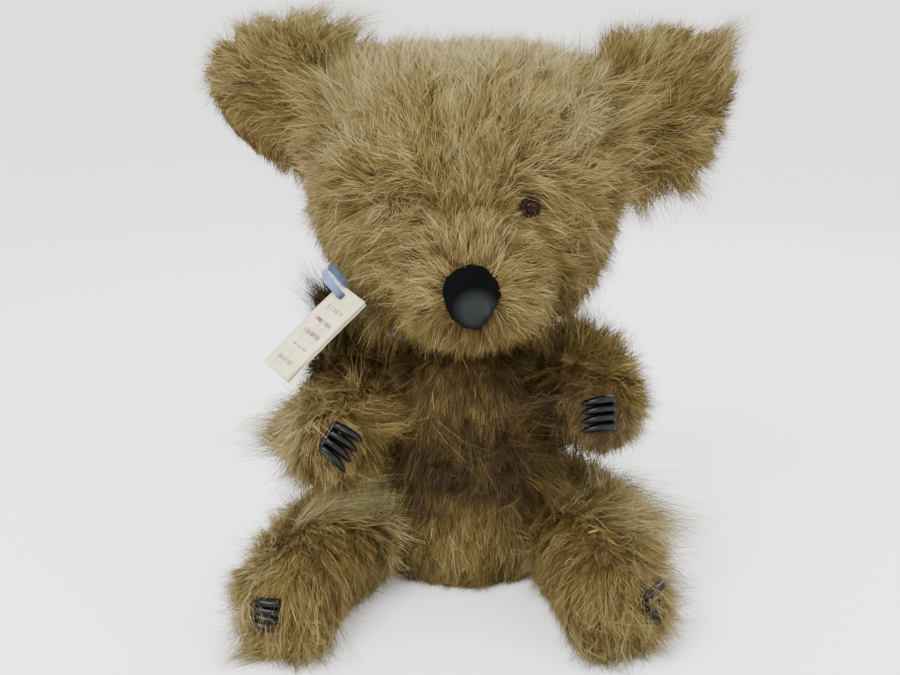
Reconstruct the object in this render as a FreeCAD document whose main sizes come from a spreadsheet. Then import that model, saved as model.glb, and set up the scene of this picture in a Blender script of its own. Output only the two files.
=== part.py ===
import FreeCAD, Part
import math
import os

import Sketcher
from FreeCAD import Placement, Rotation, Vector

# Jointed toy koala, sitting: sewn hides filled with stuffing, and five disc joints.
#
# Millimetres, +Z up. The origin is the centre of the flat seat under the torso, the face looks along -Y
# and +X is the koala's own left. Every hide is drawn at the skin under its pile. The head turns on one
# upright disc joint, and each arm and leg on a level one: two hardboard discs, each with a steel washer,
# drawn together through the two hides by a split pin whose legs are bent back inside the torso.

DIMENSIONS = {
    # Sewn hide, and the clearances inside it and at the joints.
    "hide": 2.0, "fill_gap": 0.4, "joint_gap": 0.8, "sewn_gap": 0.3,
    # Torso: height, depth and width of eight level sections, and the flats that the limbs turn against.
    "torso1_z": 0.0, "torso1_x": 38.0, "torso1_y": 34.0,
    "torso2_z": 10.0, "torso2_x": 47.0, "torso2_y": 43.0,
    "torso3_z": 34.0, "torso3_x": 54.0, "torso3_y": 50.0,
    "torso4_z": 60.0, "torso4_x": 54.0, "torso4_y": 50.0,
    "torso5_z": 90.0, "torso5_x": 51.0, "torso5_y": 45.0,
    "torso6_z": 112.0, "torso6_x": 49.0, "torso6_y": 42.0,
    "torso7_z": 128.0, "torso7_x": 41.0, "torso7_y": 36.0,
    "torso8_z": 138.0, "torso8_x": 28.0, "torso8_y": 26.0,
    "flat_x": 40.0,
    # Head: nine level sections above the neck joint, and the muzzle.
    "head1_z": 138.8, "head1_x": 31.0, "head1_y": 25.0,
    "head2_z": 150.0, "head2_x": 46.0, "head2_y": 39.0,
    "head3_z": 168.0, "head3_x": 65.0, "head3_y": 53.0,
    "head4_z": 190.0, "head4_x": 76.0, "head4_y": 61.0,
    "head5_z": 215.0, "head5_x": 80.0, "head5_y": 64.0,
    "head6_z": 240.0, "head6_x": 78.0, "head6_y": 62.0,
    "head7_z": 262.0, "head7_x": 67.0, "head7_y": 53.0,
    "head8_z": 275.0, "head8_x": 50.0, "head8_y": 40.0,
    "head9_z": 280.0, "head9_x": 34.0, "head9_y": 27.0,
    "muzzle_x": 36.0, "muzzle_y": 42.0, "muzzle_z": 32.0,
    "muzzle_forward": 50.0, "muzzle_height": 174.0, "muzzle_side": 3.0,
    # Ears: half length, half width and half thickness, and the place and lean of each.
    "ear_length": 42.0, "ear_width": 35.0, "ear_thick": 8.0,
    "ear_left_x": 98.0, "ear_left_z": 254.0, "ear_left_lean": 40.0,
    "ear_right_x": 91.0, "ear_right_z": 260.0, "ear_right_lean": 25.0,
    # Nose and eyes.
    "nose_x": 14.0, "nose_y": 9.0, "nose_z": 16.0, "nose_leather": 1.2, "nose_height": 172.0,
    "nose_sink": 1.5,
    "eye_x": 32.0, "eye_height": 210.5, "eye_radius": 5.5, "eye_dome": 3.6, "eye_plate": 1.2,
    "shank_radius": 1.5, "shank_length": 10.0, "eye_washer_radius": 6.0, "eye_washer_thick": 1.2,
    # Arms: joint height and setback, radii at the shoulder and the paw, length between those centres.
    "shoulder_z": 110.0, "shoulder_y": -8.0, "shoulder_x": 56.0,
    "arm_root": 23.0, "arm_tip": 19.0, "arm_length": 60.0,
    # Legs, the same way.
    "hip_z": 26.0, "hip_y": -6.0, "hip_x": 57.0,
    "leg_root": 26.0, "leg_tip": 24.0, "leg_length": 99.0,
    # Joint hardware.
    "neck_disc": 19.0, "shoulder_disc": 12.5, "hip_disc": 16.0, "disc_thick": 2.5,
    "washer_radius": 8.0, "washer_thick": 1.2, "pin_radius": 1.5, "pin_play": 0.08,
    "stack_gap": 0.2, "eyelet_ring": 2.6, "eyelet_wire": 1.1, "leg_bend": 3.0, "leg_wire": 0.75,
    "pocket_play": 0.4, "pocket_deep": 10.0,
    # Claw combs: plate, and four curved claws.
    "comb_long": 20.0, "comb_wide": 4.6, "comb_thick": 2.4, "claw_length": 14.0,
    "claw_root": 1.9, "claw_tip": 0.27, "claw_rise": 4.0, "claw_sink": 1.0, "stitch_hole": 0.7,
    # Swing tag: a card folded in two leaves, and the hole that its ribbon runs through.
    "tag_length": 56.0, "tag_width": 18.0, "tag_card": 0.5, "tag_spread": 7.0, "tag_hole": 2.7,
    "tag_hole_in": 5.0, "ribbon_width": 4.0,
}
LIMBS = {
    # side of the body, outward splay and droop below level, in degrees
    "arm_left": (1, 12.0, 2.0),
    "arm_right": (-1, 13.0, 17.0),
    "leg_left": (1, 7.0, 1.1),
    "leg_right": (-1, 16.0, 1.1),
}

doc = FreeCAD.newDocument("koala")
sheet = doc.addObject("Spreadsheet::Sheet", "dims")
for row, (alias, number) in enumerate(DIMENSIONS.items(), start=1):
    sheet.set(f"A{row}", alias)
    sheet.set(f"B{row}", str(number))
    sheet.setAlias(f"B{row}", alias)
doc.recompute()
NODES = {}


def size(alias):
    """One driving dimension, read back from the sheet."""
    return float(sheet.get(alias))


def size_of(expression):
    """The value of an expression on the sheet."""
    return float(sheet.evalExpression(expression.replace("dims.", "")))


def add(kind, name, placement=None, **bound):
    """One Part object, its properties bound to expressions on the sheet."""
    item = doc.addObject(kind, name)
    for prop, expression in bound.items():
        item.setExpression(prop, expression)
    if placement:
        item.Placement = placement
    return item


def cut(name, base, *tools):
    """Take the tools away from the base."""
    item = doc.addObject("Part::Cut", name)
    item.Base = base
    item.Tool = tools[0] if len(tools) == 1 else fuse(name + "_tools", *tools)
    return item


def fuse(name, *shapes):
    """Join overlapping shapes into one."""
    item = doc.addObject("Part::MultiFuse", name)
    item.Shapes = list(shapes)
    return item


def common(name, base, tool):
    """Keep what two shapes share."""
    item = doc.addObject("Part::Common", name)
    item.Base = base
    item.Tool = tool
    return item


def egg(name, place, along, across, other):
    """A closed ellipsoid built in two halves that meet on the plane of its first two radii."""
    halves = []
    for half, turn in (("a", 0), ("b", 180)):
        turned = place * Placement(Vector(), Rotation(Vector(0, 0, 1), turn))
        item = add("Part::Ellipsoid", f"{name}_{half}", turned, Radius1=along, Radius2=across, Radius3=other)
        item.Angle3 = 180
        halves.append(item)
    return fuse(name, *halves)


def node(name, item):
    """Name a finished piece."""
    item.Label = name
    NODES[name] = item
    return item


def facing(direction, upward=Vector(0, 0, 1)):
    """The rotation that turns +Z to a direction, and +Y as near to another as it can."""
    third = direction.normalize()
    first = upward.cross(third).normalize()
    second = third.cross(first)
    return Rotation(first, second, third, "ZXY")


def loft_form(name, prefix, count, inset):
    """A smooth closed form through level elliptical sections, drawn in by an inset."""
    sections = []
    for index in range(1, count + 1):
        key = f"dims.{prefix}{index}"
        ring = add("Part::Ellipse", f"{name}_ring{index}",
                   MajorRadius=f"{key}_x - {inset}", MinorRadius=f"{key}_y - {inset}")
        lift = {1: f" + {inset}", count: f" - {inset}"}.get(index, "")
        ring.setExpression("Placement.Base.z", f"{key}_z{lift}")
        sections.append(ring)
    loft = doc.addObject("Part::Loft", name)
    loft.Sections = sections
    loft.Solid = True
    loft.Ruled = False
    return loft


def torso_form(name, inset):
    """The torso: a pear-shaped loft pressed flat at both sides, where the limbs turn."""
    loft = loft_form(name + "_loft", "torso", 8, inset)
    slab = add("Part::Box", name + "_slab", Length=f"2 * (dims.flat_x - {inset})", Width="200", Height="200")
    slab.setExpression("Placement.Base.x", f"-(dims.flat_x - {inset})")
    slab.setExpression("Placement.Base.y", "-100")
    slab.setExpression("Placement.Base.z", "-20")
    return common(name, loft, slab)


def head_form(name, inset):
    """The head: a broad lofted skull with the muzzle standing out of its front."""
    skull = loft_form(name + "_skull", "head", 9, inset)
    muzzle = add("Part::Ellipsoid", name + "_muzzle", Radius1=f"dims.muzzle_z - {inset}",
                 Radius2=f"dims.muzzle_x - {inset}", Radius3=f"dims.muzzle_y - {inset}")
    muzzle.setExpression("Placement.Base.x", "dims.muzzle_side")
    muzzle.setExpression("Placement.Base.y", "-dims.muzzle_forward")
    muzzle.setExpression("Placement.Base.z", "dims.muzzle_height")
    return fuse(name, skull, muzzle)


def origin_plane(body, role):
    """One of a body's own origin planes."""
    return next(feature for feature in body.Origin.OriginFeatures if feature.Role == role)


def sleeve_form(name, kind, inset, placement):
    """A limb: two round ends joined by a tangent taper, turned about the limb's own axis."""
    root, tip, length = size(kind + "_root"), size(kind + "_tip"), size(kind + "_length")
    slope = math.asin((root - tip) / length)
    body = doc.addObject("PartDesign::Body", name)
    sketch = body.newObject("Sketcher::SketchObject", name + "_outline")
    sketch.AttachmentSupport = [(origin_plane(body, "XZ_Plane"), "")]
    sketch.MapMode = "FlatFace"
    up = Vector(0, 0, 1)
    side = Vector(math.cos(slope), math.sin(slope), 0)
    end = Vector(0, length, 0)
    sketch.addGeometry(Part.ArcOfCircle(Part.Circle(Vector(), up, root), -math.pi / 2, slope))
    sketch.addGeometry(Part.LineSegment(side * root, end + side * tip))
    sketch.addGeometry(Part.ArcOfCircle(Part.Circle(end, up, tip), slope, math.pi / 2))
    sketch.addGeometry(Part.LineSegment(Vector(0, length + tip, 0), Vector(0, -root, 0)))
    sketch.addConstraint([
        Sketcher.Constraint("Coincident", 0, 3, -1, 1),
        Sketcher.Constraint("PointOnObject", 2, 3, -2),
        Sketcher.Constraint("Tangent", 0, 2, 1, 1),
        Sketcher.Constraint("Tangent", 1, 2, 2, 1),
        Sketcher.Constraint("Coincident", 2, 2, 3, 1),
        Sketcher.Constraint("Coincident", 3, 2, 0, 1),
        Sketcher.Constraint("PointOnObject", 2, 2, -2),
        Sketcher.Constraint("PointOnObject", 0, 1, -2),
    ])
    for label, constraint, expression in (
            ("root_radius", Sketcher.Constraint("Radius", 0, root), f"dims.{kind}_root - {inset}"),
            ("tip_radius", Sketcher.Constraint("Radius", 2, tip), f"dims.{kind}_tip - {inset}"),
            ("length", Sketcher.Constraint("DistanceY", 0, 3, 2, 3, length), f"dims.{kind}_length")):
        index = sketch.addConstraint(constraint)
        sketch.renameConstraint(index, label)
        sketch.setExpression("Constraints." + label, expression)
    turned = body.newObject("PartDesign::Revolution", name + "_turned")
    turned.Profile = sketch
    turned.ReferenceAxis = (sketch, ["V_Axis"])
    turned.Angle = 360
    sketch.Visibility = False
    body.Placement = placement
    return body


def cylinder(name, place, radius, start, height):
    """A cylinder along a joint's axis, from a start measured outward from the torso's face."""
    item = add("Part::Cylinder", name, Radius=radius, Height=height)
    doc.recompute()
    begin = size_of(start)
    item.Placement = place * Placement(Vector(0, 0, begin), Rotation())
    return item


def joint_place(name):
    """A disc joint's frame: its origin on the torso's outer face and +Z out of the torso."""
    if name == "neck":
        return Placement(Vector(0, 0, size("torso8_z")), Rotation())
    kind, side = name.split("_")
    sign = 1 if side == "left" else -1
    point = Vector(sign * size("flat_x"), size(kind + "_y"), size(kind + "_z"))
    return Placement(point, facing(Vector(sign, 0, 0)))


JOINTS = ["neck", "shoulder_left", "shoulder_right", "hip_left", "hip_right"]
DISC_IN = "dims.hide + dims.stack_gap"
WASHER_IN = f"{DISC_IN} + dims.disc_thick + dims.stack_gap"
STACK_END = f"{WASHER_IN} + dims.washer_thick + dims.stack_gap"
BORE = "dims.pin_radius + dims.pin_play"


def ring(name, place, radius, start, thick):
    """A disc or washer with a running hole for the pin."""
    disc = cylinder(name + "_disc", place, radius, start, thick)
    hole = cylinder(name + "_hole", place, BORE, f"{start} - 1", f"{thick} + 2")
    return cut(name, disc, hole)


def split_pin(joint, place):
    """A split pin: an eyelet in the limb, a shank through both hides, two legs bent back in the torso."""
    name = joint + "_split_pin"
    shank = cylinder(name + "_shank", place, "dims.pin_radius", f"-({STACK_END}) - 1",
                     f"2 * ({STACK_END}) + dims.joint_gap + 2.8")
    reach = size_of(f"{STACK_END} + dims.joint_gap + dims.eyelet_ring + dims.eyelet_wire + 0.2")
    upright = Placement(Vector(0, 0, reach), Rotation(Vector(1, 0, 0), 90))
    seam_aside = Placement(Vector(), Rotation(Vector(0, 0, 1), 37))
    eyelet = add("Part::Torus", name + "_eyelet", place * upright * seam_aside,
                 Radius1="dims.eyelet_ring", Radius2="dims.eyelet_wire")
    legs = []
    for turn in (35, 215):
        base = place * Placement(Vector(), Rotation(Vector(0, 0, 1), turn))
        level = -size_of(f"{STACK_END} + 0.5")
        offset = 0.5 + size("leg_bend")
        bend = add("Part::Torus", f"{name}_bend{turn}",
                   base * Placement(Vector(offset, 0, level), Rotation(Vector(1, 0, 0), 90)),
                   Radius1="dims.leg_bend", Radius2="dims.leg_wire")
        bend.Angle3 = 90
        bend.Placement = bend.Placement * Placement(Vector(), Rotation(Vector(0, 0, 1), 180))
        legs.append(bend)
    return fuse(name, shank, eyelet, *legs)


def pocket(name, place, disc_radius, side):
    """The room in a stuffing for its disc, its washer and the pin's end."""
    inner = "dims.hide + dims.fill_gap - 1"
    disc_deep = f"{WASHER_IN} - ({inner}) + dims.pocket_play"
    if side == "limb":
        base = "dims.joint_gap + "
        wide = cylinder(name + "_wide", place, f"{disc_radius} + dims.pocket_play", base + inner, disc_deep)
        deep = cylinder(name + "_deep", place, f"dims.washer_radius + dims.pocket_play", base + inner,
                        f"{disc_deep} + dims.pocket_deep")
    else:
        wide = cylinder(name + "_wide", place, f"{disc_radius} + dims.pocket_play",
                        f"-({inner} + {disc_deep})", disc_deep)
        deep = cylinder(name + "_deep", place, f"dims.washer_radius + dims.pocket_play",
                        f"-({inner} + {disc_deep} + dims.pocket_deep)", f"{disc_deep} + dims.pocket_deep")
    return fuse(name, wide, deep)


# --- disc joints ---------------------------------------------------------------------------------
torso_holes = []
torso_pockets = []
limb_hole = {}
limb_pocket = {}
torso_washers = []
for joint in JOINTS:
    place = joint_place(joint)
    part_of = joint.split("_")[0]
    radius = f"dims.{part_of}_disc"
    node(f"{joint}_disc_torso", ring(f"{joint}_disc_torso", place, radius,
         f"-({DISC_IN} + dims.disc_thick)", "dims.disc_thick"))
    node(f"{joint}_disc_outer", ring(f"{joint}_disc_outer", place, radius,
         f"dims.joint_gap + {DISC_IN}", "dims.disc_thick"))
    torso_washers.append(ring(f"{joint}_washer_torso", place, "dims.washer_radius",
                              f"-({WASHER_IN} + dims.washer_thick)", "dims.washer_thick"))
    node(f"{joint}_washer", ring(f"{joint}_washer", place, "dims.washer_radius",
         f"dims.joint_gap + {WASHER_IN}", "dims.washer_thick"))
    node(f"{joint}_split_pin", split_pin(joint, place))
    torso_holes.append(cylinder(f"{joint}_hole_torso", place, BORE, "-10", "20"))
    limb_hole[joint] = cylinder(f"{joint}_hole_limb", place, BORE, "-10", "20")
    torso_pockets.append(pocket(f"{joint}_pocket_torso", place, radius, "torso"))
    limb_pocket[joint] = pocket(f"{joint}_pocket_limb", place, radius, "limb")
washers = doc.addObject("Part::Compound", "torso_washers")
washers.Links = torso_washers
node("torso_washers", washers)

# --- torso and head ------------------------------------------------------------------------------
HIDE = "dims.hide"
FILL = "(dims.hide + dims.fill_gap)"
torso_outer = torso_form("torso_outer", "0")
node("torso_skin", cut("torso_skin", torso_outer, torso_form("torso_cavity", HIDE), *torso_holes))
node("torso_stuffing", cut("torso_stuffing", torso_form("torso_fill", FILL), *torso_pockets))

head_outer = head_form("head_outer", "0")
head_clear = head_form("head_clear", "(-dims.sewn_gap)")
skull_clear = loft_form("skull_clear", "head", 9, "(-dims.sewn_gap)")
doc.recompute()


def on_surface(shape, point, inward):
    """Where a line from a point outside a shape first meets it, and the outward normal there."""
    inside = Part.makeLine(point, point + inward * 200).common(shape)
    first = min((vertex.Point for vertex in inside.Vertexes), key=lambda spot: (spot - point).Length)
    face = min(shape.Faces, key=lambda item: item.distToShape(Part.Vertex(first))[0])
    u, v = face.Surface.parameter(first)
    return first, face.normalAt(u, v)


head_holes = [limb_hole["neck"]]
head_pockets = [limb_pocket["neck"]]
for side, sign in (("left", 1), ("right", -1)):
    spot, normal = on_surface(head_outer.Shape, Vector(sign * size("eye_x"), -200, size("eye_height")),
                              Vector(0, 1, 0))
    seat = Placement(spot + normal * size("sewn_gap"), facing(normal))
    plate = add("Part::Cylinder", f"eye_plate_{side}", seat, Radius="dims.eye_radius",
                Height="dims.eye_plate")
    inward = seat * Placement(Vector(0, 0, -size("shank_length")), Rotation())
    shank = add("Part::Cylinder", f"eye_stem_{side}", inward, Radius="dims.shank_radius",
                Height="dims.shank_length + dims.eye_plate / 2")
    node(f"eye_shank_{side}", fuse(f"eye_shank_{side}", plate, shank))
    crown = seat * Placement(Vector(0, 0, size("eye_plate")), Rotation())
    dome = add("Part::Ellipsoid", f"eye_glass_{side}", crown, Radius1="dims.eye_dome",
               Radius2="dims.eye_radius", Radius3="dims.eye_radius")
    dome.Angle1 = 0
    node(f"eye_glass_{side}", dome)
    behind = seat * Placement(Vector(0, 0, -size_of("hide + sewn_gap + eye_washer_thick + 1.4")), Rotation())
    washer = add("Part::Cylinder", f"eye_washer_{side}_disc", behind, Radius="dims.eye_washer_radius",
                 Height="dims.eye_washer_thick")
    bore = add("Part::Cylinder", f"eye_bore_{side}", inward,
               Radius="dims.shank_radius + 0.1", Height="dims.shank_length + 5")
    node(f"eye_washer_{side}", cut(f"eye_washer_{side}", washer, bore))
    head_holes.append(bore)
    deep = seat * Placement(Vector(0, 0, -size("shank_length") - 1.5), Rotation())
    head_pockets.append(add("Part::Cylinder", f"eye_pocket_{side}", deep,
                            Radius="dims.eye_washer_radius + 0.5", Height="dims.shank_length + 4"))
node("head_skin", cut("head_skin", head_outer, head_form("head_cavity", HIDE), *head_holes))
node("head_stuffing", cut("head_stuffing", head_form("head_fill", FILL), *head_pockets))

# --- nose ----------------------------------------------------------------------------------------
nose_place = Placement(Vector(size("muzzle_side"), -size_of("muzzle_forward + muzzle_y - nose_sink"),
                              size("nose_height")), Rotation())


def nose_form(name, inset):
    """The nose's oval, drawn in by an inset."""
    return egg(name, nose_place, f"dims.nose_z - {inset}", f"dims.nose_x - {inset}",
               f"dims.nose_y - {inset}")


nose_hollow = nose_form("nose_hollow", "dims.nose_leather")
node("nose_leather", cut("nose_leather", nose_form("nose_outer", "0"), nose_hollow, head_clear))
node("nose_pad", cut("nose_pad", nose_form("nose_fill", "(dims.nose_leather + 0.2)"), head_clear))

# --- ears ----------------------------------------------------------------------------------------
for side, sign in (("left", 1), ("right", -1)):
    centre = Vector(sign * size(f"ear_{side}_x"), 2, size(f"ear_{side}_z"))
    lean = Rotation(Vector(0, 1, 0), -sign * size(f"ear_{side}_lean"))
    upright = Rotation(Vector(1, 0, 0), 90)
    flap = egg(f"ear_{side}_flap", Placement(centre, lean * upright), "dims.ear_thick", "dims.ear_length",
               "dims.ear_width")
    node(f"ear_{side}", cut(f"ear_{side}", flap, skull_clear))

# --- arms and legs -------------------------------------------------------------------------------
tip_centre = {}
for limb, (sign, splay, droop) in LIMBS.items():
    kind, side = limb.split("_")
    joint = ("shoulder_" if kind == "arm" else "hip_") + side
    base = joint.split("_")[0]
    root = Vector(sign * size(base + "_x"), size(base + "_y"), size(base + "_z"))
    course = Vector(sign * math.sin(math.radians(splay)), -math.cos(math.radians(splay)), 0)
    course = course * math.cos(math.radians(droop)) - Vector(0, 0, math.sin(math.radians(droop)))
    place = Placement(root, Rotation(Vector(0, 0, 1), course))
    tip_centre[limb] = root + course * size(kind + "_length")

    def pressed(name, inset, sign=sign, kind=kind, place=place):
        """The limb's form with its inner side pressed flat against the torso."""
        form = sleeve_form(name + "_sleeve", kind, inset, place)
        wall = add("Part::Box", name + "_wall", Length="200", Width="400", Height="400")
        flat = f"(dims.flat_x + dims.joint_gap + {inset})"
        wall.setExpression("Placement.Base.x", f"{flat} - 200" if sign > 0 else f"-{flat}")
        wall.setExpression("Placement.Base.y", "-200")
        wall.setExpression("Placement.Base.z", "-100")
        return cut(name, form, wall)

    node(f"{limb}_skin", cut(f"{limb}_skin", pressed(f"{limb}_outer", "0"),
                             pressed(f"{limb}_cavity", HIDE), limb_hole[joint]))
    node(f"{limb}_stuffing", cut(f"{limb}_stuffing", pressed(f"{limb}_fill", FILL), limb_pocket[joint]))


# --- claw combs ----------------------------------------------------------------------------------
CLAW_STEPS = 5
ARCH_START, ARCH_END = 150.0, 20.0  # degrees round the arch that a claw follows, at its root and its tip
THINNING = 1.6  # above 1, a claw keeps its thickness near the root and thins towards the tip


def claw(name, place, across):
    """One claw: round sections that shrink along a low arch, from the plate to a fine tip."""
    length, rise, root = size("claw_length"), size("claw_rise"), size("claw_root")
    arch = math.radians(ARCH_START - ARCH_END)
    sections = []
    for step in range(CLAW_STEPS):
        part = step / (CLAW_STEPS - 1)
        angle = math.radians(ARCH_START) - arch * part
        height = rise * math.sin(angle) - size("claw_sink")
        heading = Vector(0, length, rise * math.cos(angle) * arch)
        local = Placement(Vector(across, 1.0 + length * part, height), Rotation(Vector(0, 0, 1), heading))
        thinned = (1 - size("claw_tip") / root) * part ** THINNING
        section = add("Part::Circle", f"{name}_ring{step}", place * local,
                      Radius=f"dims.claw_root * {1 - thinned:.4f}")
        sections.append(section)
    item = doc.addObject("Part::Loft", name)
    item.Sections = sections
    item.Solid = True
    return item


def claw_comb(name, centre, radius, normal, heading):
    """A moulded comb: a plate with two stitch holes and four claws, on the end of a limb."""
    normal = normal.normalize()
    heading = (heading - normal * heading.dot(normal)).normalize()
    axes = Rotation(heading.cross(normal), heading, normal, "ZYX")
    place = Placement(centre + normal * (radius + size("sewn_gap")), axes)
    long, wide, thick = size("comb_long"), size("comb_wide"), size("comb_thick")
    plate = add("Part::Box", name + "_plate", place * Placement(Vector(-long / 2, -wide, 0), Rotation()),
                Length="dims.comb_long", Width="dims.comb_wide", Height="dims.comb_thick")
    pieces = [plate]
    for index in range(4):
        across = (index - 1.5) * long * 0.25
        pieces.append(claw(f"{name}_claw{index + 1}", place * Placement(Vector(0, -wide / 2, thick / 2),
                                                                       Rotation()), across))
    body = fuse(name + "_body", *pieces)
    holes = [add("Part::Cylinder", f"{name}_stitch{side}", place * Placement(
             Vector(side * long * 0.375, -wide * 0.72, -1), Rotation()), Radius="dims.stitch_hole",
             Height="dims.comb_thick + 4") for side in (-1, 1)]
    return node(name, cut(name, body, *holes))


COMBS = {
    # limb: outward normal of the plate, direction the claws point
    "arm_left": (Vector(0.10, -1.0, 0.25), Vector(-1.0, 0.0, 0.0)),
    "arm_right": (Vector(0.15, -1.0, 0.30), Vector(0.85, 0.0, -0.5)),
    "leg_left": (Vector(0.70, -0.75, 0.10), Vector(0.7, 0.7, 0.0)),
    "leg_right": (Vector(-0.25, -1.0, 0.0), Vector(-1.0, 0.0, 0.1)),
}
for limb, (normal, heading) in COMBS.items():
    claw_comb(f"{limb}_claws", tip_centre[limb], size(limb.split("_")[0] + "_tip"), normal, heading)

# --- swing tag and its ribbon --------------------------------------------------------------------
HANG = Vector(-37, -23, -34).normalize()
ACROSS = Vector(13, -10, -7)
ACROSS = (ACROSS - HANG * ACROSS.dot(HANG)).normalize()
FACE = HANG.cross(ACROSS)
TAG_HOLE = Vector(-63, -52, 164)
corner = TAG_HOLE - (HANG + ACROSS) * size("tag_hole_in")
tag_place = Placement(corner, Rotation(HANG, ACROSS, FACE, "ZXY"))
spread = Placement(Vector(), Rotation(Vector(1, 0, 0), -size("tag_spread")))
through = add("Part::Cylinder", "tag_punch", tag_place * Placement(Vector(
              size("tag_hole_in"), size("tag_hole_in"), -10), Rotation()), Radius="dims.tag_hole", Height="20")
for leaf, shift, turn in (("front", 0.2, Placement()), ("back", -0.2 - size("tag_card"), spread)):
    card = add("Part::Box", f"tag_{leaf}_card", tag_place * turn * Placement(Vector(0, 0, shift), Rotation()),
               Length="dims.tag_length", Width="dims.tag_width", Height="dims.tag_card")
    node(f"tag_{leaf}_leaf", cut(f"tag_{leaf}_leaf", card, through))

RIBBON_ROUTE = [
    (-31, -8, 131), (-42, -15, 139), (-53, -25, 153), (-63, -35, 168), (-70, -44, 179), (-71, -55, 176),
    (-64.7, -57.4, 167.6), (-61.3, -46.6, 160.4), (-52, -37, 151), (-41, -30, 140), (-29, -22, 131),
]


def rounded_route(points):
    """Straight runs joined by tangent arcs, each as large as its two runs allow."""
    edges = []
    start = points[0]
    for before, point, after in zip(points, points[1:], points[2:]):
        back, ahead = before - point, after - point
        turn = math.pi - back.getAngle(ahead)
        tangent = 0.45 * min(back.Length, ahead.Length)
        print(f"ribbon bend radius {tangent / math.tan(turn / 2):.1f} mm")
        first = point + back.normalize() * tangent
        last = point + ahead.normalize() * tangent
        inner = (first + last) * 0.5 - point
        depth = tangent * (1 / math.cos(turn / 2) - 1) / math.tan(turn / 2)
        middle = point + inner.normalize() * depth
        edges += [Part.LineSegment(start, first), Part.Arc(first, middle, last)]
        start = last
    edges.append(Part.LineSegment(start, points[-1]))
    return Part.Wire([edge.toShape() for edge in edges])


route = [Vector(*point) for point in RIBBON_ROUTE]
spine = doc.addObject("Part::Feature", "ribbon_spine")
spine.Shape = rounded_route(route)
section = add("Part::Circle", "ribbon_section", Placement(route[0], Rotation(Vector(0, 0, 1),
              route[1] - route[0])), Radius="dims.ribbon_width / 2")
sweep = doc.addObject("Part::Sweep", "ribbon_tube")
sweep.Sections = [section]
sweep.Spine = (spine, [f"Edge{index + 1}" for index in range(len(spine.Shape.Edges))])
sweep.Solid = True
sweep.Frenet = False
node("tag_ribbon", cut("tag_ribbon", sweep, torso_outer))

# --- checks and files ----------------------------------------------------------------------------
doc.recompute()
for item in doc.Objects:
    if "Invalid" in item.State or "Error" in item.State:
        raise RuntimeError(f"{item.Label} did not build: {item.State}")
expected = math.pi * (size("ribbon_width") / 2) ** 2 * spine.Shape.Length
print(f"ribbon length {spine.Shape.Length:.1f} mm, volume {sweep.Shape.Volume:.0f} of {expected:.0f}")
os.makedirs("parts", exist_ok=True)
for name, item in NODES.items():
    shape = item.Shape
    if shape.isNull() or not shape.isValid():
        raise RuntimeError(f"{name} is not a valid solid")
    shape.exportStep(f"parts/{name}.step")
    box = shape.BoundBox
    spans = [(box.XMin, box.XMax), (box.YMin, box.YMax), (box.ZMin, box.ZMax)]
    print(f"{name:28s} solids {len(shape.Solids)} volume {shape.Volume:10.1f}",
          *(f"{low:7.1f} {high:7.1f}" for low, high in spans))
print(len(NODES), "nodes")
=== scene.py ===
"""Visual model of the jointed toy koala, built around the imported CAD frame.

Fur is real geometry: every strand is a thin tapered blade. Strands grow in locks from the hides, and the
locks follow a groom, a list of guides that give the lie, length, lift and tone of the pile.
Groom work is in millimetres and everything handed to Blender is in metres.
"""
import math

import bmesh
import bpy
import numpy as np
from mathutils import Matrix, Vector
from mathutils.bvhtree import BVHTree


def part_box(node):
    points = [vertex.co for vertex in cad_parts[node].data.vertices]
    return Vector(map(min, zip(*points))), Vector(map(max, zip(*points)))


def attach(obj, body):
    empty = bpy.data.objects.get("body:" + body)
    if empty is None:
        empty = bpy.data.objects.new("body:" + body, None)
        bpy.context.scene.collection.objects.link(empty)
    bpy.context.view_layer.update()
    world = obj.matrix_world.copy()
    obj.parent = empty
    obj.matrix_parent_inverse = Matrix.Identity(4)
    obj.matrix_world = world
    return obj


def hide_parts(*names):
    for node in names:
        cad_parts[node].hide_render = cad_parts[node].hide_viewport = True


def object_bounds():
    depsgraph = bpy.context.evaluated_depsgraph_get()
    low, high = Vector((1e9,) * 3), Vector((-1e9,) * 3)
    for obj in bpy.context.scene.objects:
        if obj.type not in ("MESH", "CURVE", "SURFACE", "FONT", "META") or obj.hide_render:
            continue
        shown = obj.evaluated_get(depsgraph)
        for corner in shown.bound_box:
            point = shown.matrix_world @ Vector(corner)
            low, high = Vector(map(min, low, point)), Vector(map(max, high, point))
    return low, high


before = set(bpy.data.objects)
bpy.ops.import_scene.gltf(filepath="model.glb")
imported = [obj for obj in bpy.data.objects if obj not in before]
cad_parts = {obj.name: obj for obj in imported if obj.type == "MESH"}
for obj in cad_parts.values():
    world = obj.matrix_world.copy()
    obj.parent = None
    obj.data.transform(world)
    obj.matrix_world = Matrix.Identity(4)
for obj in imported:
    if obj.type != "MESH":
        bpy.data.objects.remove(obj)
cad_box = [[float(value) for value in corner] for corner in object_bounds()]
MM = 0.001
scene = bpy.context.scene

# --- camera --------------------------------------------------------------------------------------
CAMERA_AIM = Vector((0.0, 0.0, 0.1293))
CAMERA_DISTANCE = 0.750
CAMERA_ELEVATION = math.radians(14.0)
FOCAL_MM, SENSOR_MM, SHIFT = 54.5, 36.0, -0.0167
lens = bpy.data.cameras.new("camera")
lens.lens = FOCAL_MM
lens.sensor_width = SENSOR_MM
lens.shift_x = SHIFT
camera = bpy.data.objects.new("camera", lens)
camera.location = CAMERA_AIM + CAMERA_DISTANCE * Vector(
    (0.0, -math.cos(CAMERA_ELEVATION), math.sin(CAMERA_ELEVATION)))
camera.rotation_euler = (math.pi / 2 - CAMERA_ELEVATION, 0.0, 0.0)
scene.collection.objects.link(camera)
scene.camera = camera


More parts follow.
